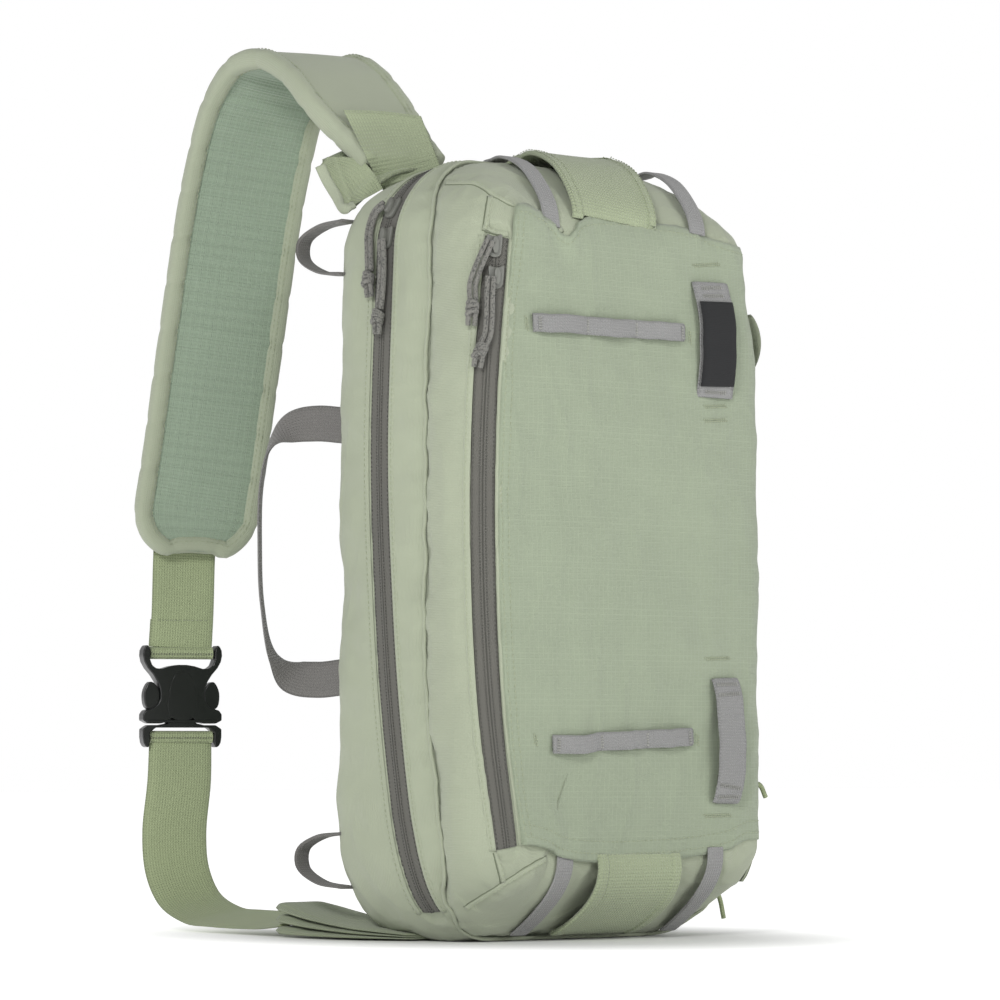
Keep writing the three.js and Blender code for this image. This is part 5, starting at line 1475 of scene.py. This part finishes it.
def seam_webbing(name, rows, width, steps, node):
    knots = np.array([(a * WIDTH, b * BACK_DEPTH, u * HEIGHT) for (a, b, u), _ in rows])
    points, wides = spline(knots, steps), spline(np.array([w for _, w in rows], float), steps)
    part_piece(name, [ribbon_part(points, wides, width, WEBBING, across=11)], [DARK_GREY], [node])


seam_webbing("side_handle_webbing", SIDE_HANDLE, HANDLE_WIDTH, HANDLE_STEPS, "side_handle")
for label, middle in LOOP_PLACES:
    rows = [((a, b, middle + rise), FLAT) for a, b, rise in LOOP_REACH]
    seam_webbing(f"back_loop_{label}_webbing", rows, LOOP_WIDTH, LOOP_STEPS, f"back_loop_{label}")


# Webbing on the front panel

ARCH_POWER = 0.7


def arch(t):
    return abs(math.sin(math.pi * t)) ** ARCH_POWER


def on_front(x, z):
    return strike((x, -WIDTH, z), (0, 1, 0))


def arched(node, start, end, arches, height, width, wide, steps):
    """Webbing sewn to the front at its ends and between its arches."""
    points = []
    for t in np.linspace(0, 1, arches * steps + 1):
        x, z = ((a + (b - a) * t) * size for a, b, size in zip(start, end, (WIDTH, HEIGHT)))
        spot, out = on_front(x, z)
        points.append(spot + out * (GAP + WEBBING / 2 + height * arch(t * arches)))
    points = np.array(points)
    wides = np.repeat([wide], len(points), axis=0).astype(float)
    part_piece(f"{node}_webbing", [ribbon_part(points, wides, width, WEBBING)], [GREY], [node])
    return points, wides


TACK_ROWS, TACK_STEPS, TACK_LIFT = (-0.7, 0.0, 0.7), 12, 1.1


def bartack(points, wides, index, width):
    """Dense rows of stitches across webbing."""
    way = tangents(points)[index]
    wide = unit(wides[index] - (wides[index] @ way) * way)
    out = np.cross(wide, way)
    if out[1] > 0:
        out = -out
    for shift in TACK_ROWS:
        line = np.array([points[index] + way * shift + wide * w + out * TACK_LIFT
                         for w in np.linspace(-width / 2, width / 2, TACK_STEPS)])
        sew("grey", thread_parts(line, np.repeat([out], len(line), axis=0), *TACK_STITCH))


DAISIES = [("daisy_upper", (-0.33, 0.779), (0.17, 0.782)), ("daisy_lower", (-0.272, 0.25), (0.192, 0.26))]
DAISY_ARCHES, DAISY_RISE, DAISY_STEPS, DAISY_TACK = 3, 3.0, 24, 0.8
for node, start, end in DAISIES:
    points, wides = arched(node, start, end, DAISY_ARCHES, DAISY_RISE, DAISY_WIDTH, (0, 0, 1), DAISY_STEPS)
    for index in (2, DAISY_STEPS, 2 * DAISY_STEPS, len(points) - 3):
        bartack(points, wides, index, DAISY_WIDTH * DAISY_TACK)
TAB_UPPER = ((0.28, 0.7), (0.272, 0.85))
TAB_LOWER = ((0.303, 0.175), (0.303, 0.335))
TAB_STEPS, TAB_RISE, TAB_TACKS, TAB_TACK = 40, 6.5, (2, 5, 35, 38), 0.85
LABEL_ARCH, LABEL_WIDTH, LABEL_THICKNESS, LABEL_TAB = 2.5, 26.0, 0.8, 28.0
LABEL_SPAN = slice(4, 34)
tab_points, tab_wides = arched("tab_upper", *TAB_UPPER, 1, LABEL_ARCH, LABEL_TAB, (1, 0, 0), TAB_STEPS)
low_points, low_wides = arched("tab_lower", *TAB_LOWER, 1, TAB_RISE, TAB_WIDTH, (1, 0, 0), TAB_STEPS)
for index in TAB_TACKS:
    bartack(tab_points, tab_wides, index, TAB_WIDTH * TAB_TACK)
    bartack(low_points, low_wides, index, TAB_WIDTH * TAB_TACK)
label_points = tab_points[LABEL_SPAN] - np.array([0, WEBBING / 2 + LABEL_THICKNESS / 2 + GAP, 0])
label_part = ribbon_part(label_points, tab_wides[LABEL_SPAN], LABEL_WIDTH, LABEL_THICKNESS, across=11)
part_piece("label", [label_part], [PATCH], ["label_patch"])


# Stitch marks on the panel: double rows between pairs of pixels
MARKS = [((693, 266), (720, 264)), ((704, 407), (728, 406)), ((704, 421), (728, 420)),
         ((705, 659), (731, 658)), ((704, 816), (731, 815)), ((526, 316), (527, 331)),
         ((689, 330), (690, 345)), ((535, 734), (536, 748)), ((697, 734), (697, 748))]
MARK_STEPS = 14
for start, end in MARKS:
    for shift in (-1, 1):
        pixels = np.linspace(start, end, MARK_STEPS) + shift
        spots = [strike(EYE, sight(*pixel)) for pixel in pixels]
        outs = np.array([out for _, out in spots])
        line = np.array([spot for spot, _ in spots]) + outs * FACE_LIFT
        sew("green", thread_parts(line, outs, *MARK_STITCH))


# Webbing over the top and bottom of the body

ROW_NAMES = ("back_edge", "back_round", "back_side", "gusset_mid", "gusset_front", "seam",
             "front_gusset", "corner_a", "corner_b", "corner_c", "front_edge")
HANDLE_ARCH, LOOP_ARCH = 7.0, 3.0
CAP_PIECES = [
    ("top_handle", 0.02, "gusset_mid", 1, HANDLE_ARCH, CARRY_WIDTH),
    ("top_loop_left", -0.195, "gusset_front", 1, LOOP_ARCH, LOOP_WIDTH),
    ("top_loop_right", 0.3, "gusset_front", 1, LOOP_ARCH, LOOP_WIDTH),
    ("bottom_handle", 0.03, "front_gusset", 2, HANDLE_ARCH, CARRY_WIDTH),
    ("bottom_loop_left", -0.213, "front_gusset", 2, LOOP_ARCH, LOOP_WIDTH),
    ("bottom_loop_right", 0.29, "front_gusset", 2, LOOP_ARCH, LOOP_WIDTH),
]
CAP_STEPS = 60
TUCK = 3.0
# how the pieces over the top slant: shares of WIDTH at their back and front ends
CAP_SKEW = (0.03, -0.06)
SKEW_START = -20
EDGE_BAND, BAND_RISE, CARRY_EDGE = 8.0, 1.1, 4
# Stitches on the bands: distance from the band's inner or outer edge, and lift
BAND_SEAMS = ((EDGE_BAND - 1.4, 0.6), (1.8, 0.5))


def over_cap(name, x, last, column, height, width):
    """Webbing from the gusset over the cap to the edge of the front panel."""
    rows = PROFILE[ROW_NAMES.index(last):][::-1]
    top = column == 1
    z = HEIGHT - rows[:, 4] * ROUND_TOP if top else rows[:, 5] * ROUND_BOTTOM
    depths = depth_of(rows[:, column])
    skew = np.interp(-depths, (SKEW_START, FRONT_DEPTH), CAP_SKEW) if top else np.zeros(len(rows))
    knots = np.stack([(x + skew) * WIDTH, depths, z], axis=1)
    line = spline(knots, 2 * CAP_STEPS)
    edge = SEAM_LINES["panel_top" if top else "hem"]
    level = edge[np.abs(edge[:, 0] - line[0, 0]).argmin(), 2]
    line = line[line[:, 2] > level - TUCK] if top else line[line[:, 2] < level + TUCK]
    along = tangents(line)
    outs = np.stack([np.zeros(len(line)), -along[:, 2], along[:, 1]], axis=1) * (1 if top else -1)
    rise = [GAP + WEBBING / 2 + height * arch(t) for t in np.linspace(0, 1, len(line))]
    points = line + outs * np.array(rise)[:, None]
    points[:, 2] = np.maximum(points[:, 2], WEBBING / 2 + GAP)
    wides = np.repeat([(1.0, 0, 0)], len(points), axis=0)
    carry = width == CARRY_WIDTH
    parts = [ribbon_part(points, wides, width - (CARRY_EDGE if carry else 0), WEBBING, across=21)]
    for side in (-1, 1) if carry else ():
        band = points + wides * side * (width - EDGE_BAND) / 2
        parts.append(ribbon_part(band, wides, EDGE_BAND, WEBBING + BAND_RISE))
        for inset, lift in BAND_SEAMS:
            sew("green", stitches_beside(points, wides, side * (width / 2 - inset), WEBBING / 2 + lift,
                                         CARRY_STITCH))
    part_piece(f"{name}_webbing", parts, [TEXTURED if carry else GREY], [name])


for row in CAP_PIECES:
    over_cap(*row)


# The back and the right side are found on the plain body again
TREE = PLAIN_TREE

# Back panel with sewn channels

BACK_PANEL_THICKNESS, BACK_PANEL_MARGIN = 10.0, 24.0
CHANNELS = (0.2, 0.4, 0.6, 0.8)


def back_panel():
    x, z, out_x, out_z = SPOTS[::2].T
    rows = []
    for share in np.linspace(1, 0.03, 60):
        inset = BACK_PANEL_MARGIN * (1 + 0.6 * (share == 1))
        height = z - out_z * inset
        narrow = 1 - TOP_TAPER * smooth((height / HEIGHT - TAPER_START) / (1 - TAPER_START))
        px = (x - out_x * inset) * narrow * share
        pz = HEIGHT / 2 + (height - HEIGHT / 2) * share
        edge = (1 - share) * 90
        puff = BACK_PANEL_THICKNESS * (1 - math.exp(-edge / 7)) * 0.98 + 0.2
        sink = sum(np.exp(-((pz / HEIGHT - c) * HEIGHT / 3.5) ** 2) for c in CHANNELS) * 3.0
        y = BACK_DEPTH + GAP + np.maximum(0.2, puff - sink * (1 - share**6))
        rows.append(np.stack([px, y, pz], axis=1))
    rim = rows[0].copy()
    rim[:, 1] = BACK_DEPTH + 0.1
    rows = np.array([rim, *rows])
    count = rows.shape[1]
    uv = rows.reshape(-1, 3)[:, [0, 2]] * MM
    faces = lattice(len(rows), count, closed=True)
    faces.append(tuple(range((len(rows) - 1) * count, len(rows) * count)))
    return rows.reshape(-1, 3), faces, uv


panel = part_piece("back_pad", [back_panel()], [MESH], ["back_panel"])


# Side pocket, side tab and the ends of the elastic

POCKET_FRONT, POCKET_BACK, POCKET_LOW, POCKET_HIGH = -0.7, 0.75, 0.07, 0.45
POCKET_BULGE, POCKET_SEAT, POCKET_CLOTH = 9.0, 0.8, 1.6
RISE_START, RISE_SPAN = 0.1, 0.6


def on_right(share, up):
    return strike((WIDTH, float(depth_of(np.array(share))), up * HEIGHT), (-1, 0, 0))


POCKET_ROWS, POCKET_COLUMNS = 50, 60
GATHER, SEAM_SHADE_AND_POCKET_CREASE, CREASE_SIZE = 0.8, 0.9, (22.0, 6.0)


def pocket():
    """The pocket's cloth, bulging off the side and gathered at its rim, and the rim's points."""
    rows, columns = POCKET_ROWS, POCKET_COLUMNS
    faces_out, inner = [], []
    for r in range(rows + 1):
        v = r / rows
        for c in range(columns + 1):
            u = c / columns
            spot, out = on_right(POCKET_FRONT + (POCKET_BACK - POCKET_FRONT) * u,
                                 POCKET_LOW + (POCKET_HIGH - POCKET_LOW) * v)
            out = unit(np.array([out[0], out[1], 0]))
            bulge = POCKET_BULGE * arch(u) * arch(RISE_START + RISE_SPAN * v)
            gather = GATHER * math.sin(u * 60 + 2 * math.sin(v * 9)) * smooth((v - 0.7) / 0.3)
            crease = SEAM_SHADE_AND_POCKET_CREASE * ripple(spot, *CREASE_SIZE) * arch(u)
            faces_out.append(spot + out * (POCKET_SEAT + bulge + POCKET_CLOTH + gather + crease))
            inner.append(spot + out * (POCKET_SEAT + bulge + gather + crease))
    wide = columns + 1
    count = (rows + 1) * wide
    faces = lattice(rows + 1, wide)
    faces = [tuple(reversed(f)) for f in faces] + [tuple(i + count for i in f) for f in faces]
    border = [r * wide for r in range(rows + 1)]
    border += [rows * wide + c for c in range(1, wide)]
    border += [r * wide + columns for r in range(rows - 1, -1, -1)]
    border += list(range(columns - 1, 0, -1))
    for k, a in enumerate(border):
        b = border[(k + 1) % len(border)]
        faces.append((a, b, b + count, a + count))
    points = np.array(faces_out + inner)
    uv = points[:, [1, 2]] * MM
    rim = points[[rows * wide + c for c in range(wide)]]
    return (points, faces, uv), rim


RIM_SPACING, RIM_RADIUS = 2.0, 1.9
pocket_part, pocket_rim = pocket()
part_piece("side_pocket_cloth", [pocket_part], [BODY], ["side_pocket"])
part_piece("side_pocket_rim", [tube_part(even(pocket_rim, RIM_SPACING), RIM_RADIUS)], [BODY], [])

TAB_BACK, TAB_UP, TAB_LENGTH, TAB_ARCH, TAB_POINTS = -0.66, 0.78, 32.0, 6.5, 25
UP = np.array([0.0, 0.0, 1.0])
spot, out = on_right(TAB_BACK, TAB_UP)
tab_line = np.array([spot + out * (GAP + WEBBING / 2 + TAB_ARCH * arch(t)) + UP * (t - 0.5) * TAB_LENGTH
                     for t in np.linspace(0, 1, TAB_POINTS)])
tab_part = ribbon_part(tab_line, [np.cross(UP, out)] * TAB_POINTS, LOOP_WIDTH, WEBBING)
part_piece("side_tab_webbing", [tab_part], [BODY], ["side_tab"])

CORD_DIAMETER = 2.8
POCKET_CORD_REACH = 9.0
# name, place on the side, and how far the end hangs down as a share of HEIGHT
POCKET_CORDS = [("pocket_cord_upper", -0.72, 0.2, 0.02), ("pocket_cord_lower", -0.3, 0.062, 0.03)]
for label, share, up, drop in POCKET_CORDS:
    spot, out = on_right(share, up)
    knots = [spot + out * reach * POCKET_CORD_REACH - np.array([0, 0, fall * drop * HEIGHT])
             for reach, fall in ((0.1, 0), (0.6, 0.2), (1, 1))]
    part_piece(f"{label}_tail", [tube_part(spline(knots, 16), CORD_DIAMETER / 2)], [GREEN], [label])


# Zipper pulls

SLIDER_LENGTH, SLIDER_WIDTH = 13.0, 9.0
SLIDER_BODY, SLIDER_BRIDGE, SLIDER_ROUNDING = (-0.9, 1.2), (1.0, 4.2), 0.5
CORNER_OUT = (-0.65, -0.76, 0)
# name, slider's place, out, points from the slider to the knot, knot, tail
PULLS = [
    ("front_pull_upper", ("corner", -0.147, 0.874), CORNER_OUT,
     [(-101, -59.5, 376.5), (-103.5, -57.5, 369.5), (-106.5, -55.5, 361), (-108, -53, 352),
      (-108.5, -54, 344)], (-109.2, -54.2, 339.4), (-108.5, -52.6, 330.5)),
    ("front_pull_lower", ("corner", -0.143, 0.8345), CORNER_OUT,
     [(-101.5, -60.5, 357), (-101.8, -60, 347.5), (-101.8, -59.5, 334), (-102.5, -59, 325.5),
      (-104.5, -58, 320.5)], (-106.6, -57.6, 316.4), (-107, -55.6, 308)),
    ("main_pull_upper", ("left", 0.3, 0.935), (-0.9, 0, 0.4),
     [(-108, 20, 402), (-109, 26, 398), (-112, 27.5, 387.5), (-113.5, 26, 376.5), (-114, 25, 365)],
     (-115, 25, 360.4), (-114.4, 24.5, 351)),
    ("main_pull_lower", ("left", 0.27, 0.896), (-1, 0, 0),
     [(-114, 15, 382), (-113.8, 14.5, 372), (-114, 14.5, 360), (-114.5, 15, 350),
      (-115.2, 15.5, 343.5)], (-116, 15.9, 338.9), (-115.6, 16.6, 330)),
]
TAIL_SPREAD, TAIL_START, TAIL_MIDDLE = 1.7, 0.6, 1.1
STRAND_STEPS = 36
BRAID_SPACING, BRAID_BUMP, BRAID_PITCH, BRAID_SIDES = 0.6, 0.04, 1.5, 14
# how far along the knot each turn lies, and its tilt
KNOT_TURNS = ((2.6, 0.35), (0.2, -0.5), (-2.2, 0.4))
KNOT_WIDE, KNOT_DEEP, KNOT_TILT, KNOT_STEPS, KNOT_SIDES = 2.4, 2.2, 2.6, 24, 12


def strand_knots(points, out, side):
    """The points of one of the two strands that lie side by side."""
    middle = np.array(points, float)
    rows = []
    for i, p in enumerate(middle):
        along = middle[min(i + 1, len(middle) - 1)] - middle[max(i - 1, 0)]
        rows.append(p + unit(np.cross(along, out)) * side * (CORD_DIAMETER + GAP) / 2)
    return rows


def braid(path, radius):
    """A braided cord with a light bump at each crossing of its yarns."""
    path = even(path, BRAID_SPACING)
    bumps = np.sin(2 * math.pi * length_along(path) / BRAID_PITCH)
    return tube_part(path, radius * (1 + BRAID_BUMP * bumps), sides=BRAID_SIDES)


def knot_parts(knot, tail, last, out):
    """A knot of wrapped cord with two cut tails."""
    knot, tail, last = (np.array(p, float) for p in (knot, tail, last))
    up = unit(last - knot)
    side = unit(np.cross(tail - knot, out))
    front = np.cross(side, up)
    parts = []
    radius = CORD_DIAMETER * 0.5
    for turn_at, tilt in KNOT_TURNS:
        wrap = []
        for k in range(KNOT_STEPS + 1):
            a = 2 * math.pi * k / KNOT_STEPS
            wrap.append(knot + side * math.cos(a) * KNOT_WIDE + front * math.sin(a) * KNOT_DEEP
                        + up * (turn_at + tilt * KNOT_TILT * math.sin(a + turn_at)))
        parts.append(tube_part(np.array(wrap), radius, sides=KNOT_SIDES))
    for s in (1, -1):
        shift = side * s * TAIL_SPREAD
        line = [knot + shift * TAIL_START, (knot + tail) / 2 + shift * TAIL_MIDDLE, tail + shift]
        parts.append(tube_part(spline(line, 12), radius, sides=KNOT_SIDES))
    return parts


def slider_place(place):
    kind, a, up = place
    if kind == "corner":
        return strike(RIGHT * a * WIDTH - LEVEL * WIDTH + np.array([0, 0, up * HEIGHT]), LEVEL)
    return strike((-WIDTH, float(depth_of(np.array(a))), up * HEIGHT), (1, 0, 0))


def slider_piece(name, place, node):
    """A zipper slider: a waisted plate and its bridge."""
    spot, out = slider_place(place)
    along = unit(np.array([0, 0, 1.0]) - out[2] * out)
    across = np.cross(along, out)

    def block(shape, low, high):
        count = len(shape)
        points = [spot + across * a + along * b + out * z for z in (low, high) for a, b in shape]
        faces = [tuple(reversed(range(count))), tuple(range(count, 2 * count))]
        faces += [(i, (i + 1) % count, (i + 1) % count + count, i + count) for i in range(count)]
        return points, faces, None, 0

    half, length = SLIDER_WIDTH / 2, SLIDER_LENGTH / 2
    left = [(-half * 0.4, length * 0.75), (-half, length), (-half * 0.9, 0), (-half * 0.7, -length)]
    body = rounded(left[1:] + [(-a, b) for a, b in left[::-1]] + left[:1], 2)
    bridge = rounded(rect(1.6, -4.5, 4.5), 1)
    piece = join_parts(name, [block(body, *SLIDER_BODY), block(bridge, *SLIDER_BRIDGE)], [SLIDER])
    soften = piece.modifiers.new("rounding", "BEVEL")
    soften.width = SLIDER_ROUNDING * MM
    soften.segments = 2
    settle(piece, [node])


for label, place, out, points, knot, tail in PULLS:
    slider_piece(f"{label}_runner", place, f"{label}_slider")
    end = part_piece(f"{label}_knot_wrap", knot_parts(knot, tail, points[-1], out), [CORD],
                     [f"{label}_knot"])
    for side, letter in ((1, "a"), (-1, "b")):
        path = spline(strand_knots(points, out, side), STRAND_STEPS)
        cord = part_piece(f"{label}_strand_{letter}", [braid(path, CORD_DIAMETER / 2)], [CORD],
                          [f"{label}_cord_{letter}"])


# All stitches of one colour are one piece
THREADS = (("green", THREAD, "body_fabric"), ("grey", GREY_THREAD, "zipper_tape"),
           ("dark", DARK_THREAD_AND_SLIT_SHADE, "zipper_tape"))
for colour, material, slot in THREADS:
    part_piece(f"stitches_{colour}", STITCHES[colour], [material], [])


# Floor, backdrop and light

# The floor's own light, painted light that keeps it white, is kept away from the foot of the bag so that
# its shadow shows; the ellipse without glow there is also painted shadow
FLOOR_GLOW = 0.7
FLOOR_CENTRE, FLOOR_STRETCH, FLOOR_FADE = (0.0, -0.03, 0.0), (1.0, 0.8, 0.0), (0.09, 0.23)
FLOOR_REACH, FLOOR_LEVEL, FLOOR_GRAIN, FLOOR_ROUGH = 9000, -0.4, 3, (0.65, 0.75)


def floor():
    corners = [(x, y, FLOOR_LEVEL) for x, y in rect(FLOOR_REACH, -FLOOR_REACH, FLOOR_REACH)]
    piece = mesh_object("floor", corners, [(0, 1, 2, 3)])
    material, nodes, links, base = shader("studio_floor", (0.9, 0.9, 0.9), 0.7)
    source = nodes.new("ShaderNodeTexCoord")
    shift = nodes.new("ShaderNodeMapping")
    shift.inputs["Location"].default_value = FLOOR_CENTRE
    shift.inputs["Scale"].default_value = FLOOR_STRETCH
    reach = nodes.new("ShaderNodeVectorMath")
    reach.operation = "LENGTH"
    glow = nodes.new("ShaderNodeMapRange")
    glow.interpolation_type = "SMOOTHSTEP"
    glow.inputs["From Min"].default_value, glow.inputs["From Max"].default_value = FLOOR_FADE
    glow.inputs["To Max"].default_value = FLOOR_GLOW
    links.new(source.outputs["Object"], shift.inputs["Vector"])
    links.new(shift.outputs[0], reach.inputs[0])
    links.new(reach.outputs["Value"], glow.inputs["Value"])
    links.new(glow.outputs[0], base.inputs["Emission Strength"])
    base.inputs["Emission Color"].default_value = (1, 1, 1, 1)
    grain = noise_node(nodes, links, source, FLOOR_GRAIN)
    rough = nodes.new("ShaderNodeMapRange")
    rough.inputs["To Min"].default_value, rough.inputs["To Max"].default_value = FLOOR_ROUGH
    links.new(grain, rough.inputs["Value"])
    links.new(rough.outputs[0], base.inputs["Roughness"])
    piece.data.materials.append(material)


def lamp(name, place, size, power, target=(0, 0, 0.22)):
    data = bpy.data.lights.new(name, "AREA")
    data.shape = "DISK"
    data.size = size
    data.energy = power
    piece = bpy.data.objects.new(name, data)
    piece.location = place
    piece.rotation_euler = (Vector(target) - Vector(place)).to_track_quat("-Z", "Y").to_euler()
    bpy.context.collection.objects.link(piece)


SKY_LOW, SKY_HIGH = 0.66, 0.3
floor()
world = bpy.data.worlds.new("studio")
world.use_nodes = True
sky, sky_links = world.node_tree.nodes, world.node_tree.links
direction = sky.new("ShaderNodeTexCoord")
parts = sky.new("ShaderNodeSeparateXYZ")
fall = sky.new("ShaderNodeMapRange")
fall.inputs["From Min"].default_value = 0.22
fall.inputs["From Max"].default_value = 0.8
fall.inputs["To Min"].default_value = SKY_LOW
fall.inputs["To Max"].default_value = SKY_HIGH
seen = sky.new("ShaderNodeLightPath")
strength = sky.new("ShaderNodeMix")
strength.inputs["B"].default_value = 1.0
sky_links.new(direction.outputs["Generated"], parts.inputs[0])
sky_links.new(parts.outputs[2], fall.inputs["Value"])
sky_links.new(seen.outputs["Is Camera Ray"], strength.inputs["Factor"])
sky_links.new(fall.outputs[0], strength.inputs["A"])
sky_links.new(strength.outputs["Result"], sky["Background"].inputs["Strength"])
sky["Background"].inputs["Color"].default_value = (1, 1, 1, 1)
bpy.context.scene.world = world
lamp("key", (-2.3, -1.5, 1.3), 0.7, 40)
lamp("fill", (0.6, -2.6, 0.9), 1.4, 20)
bpy.context.scene.view_settings.view_transform = "Standard"
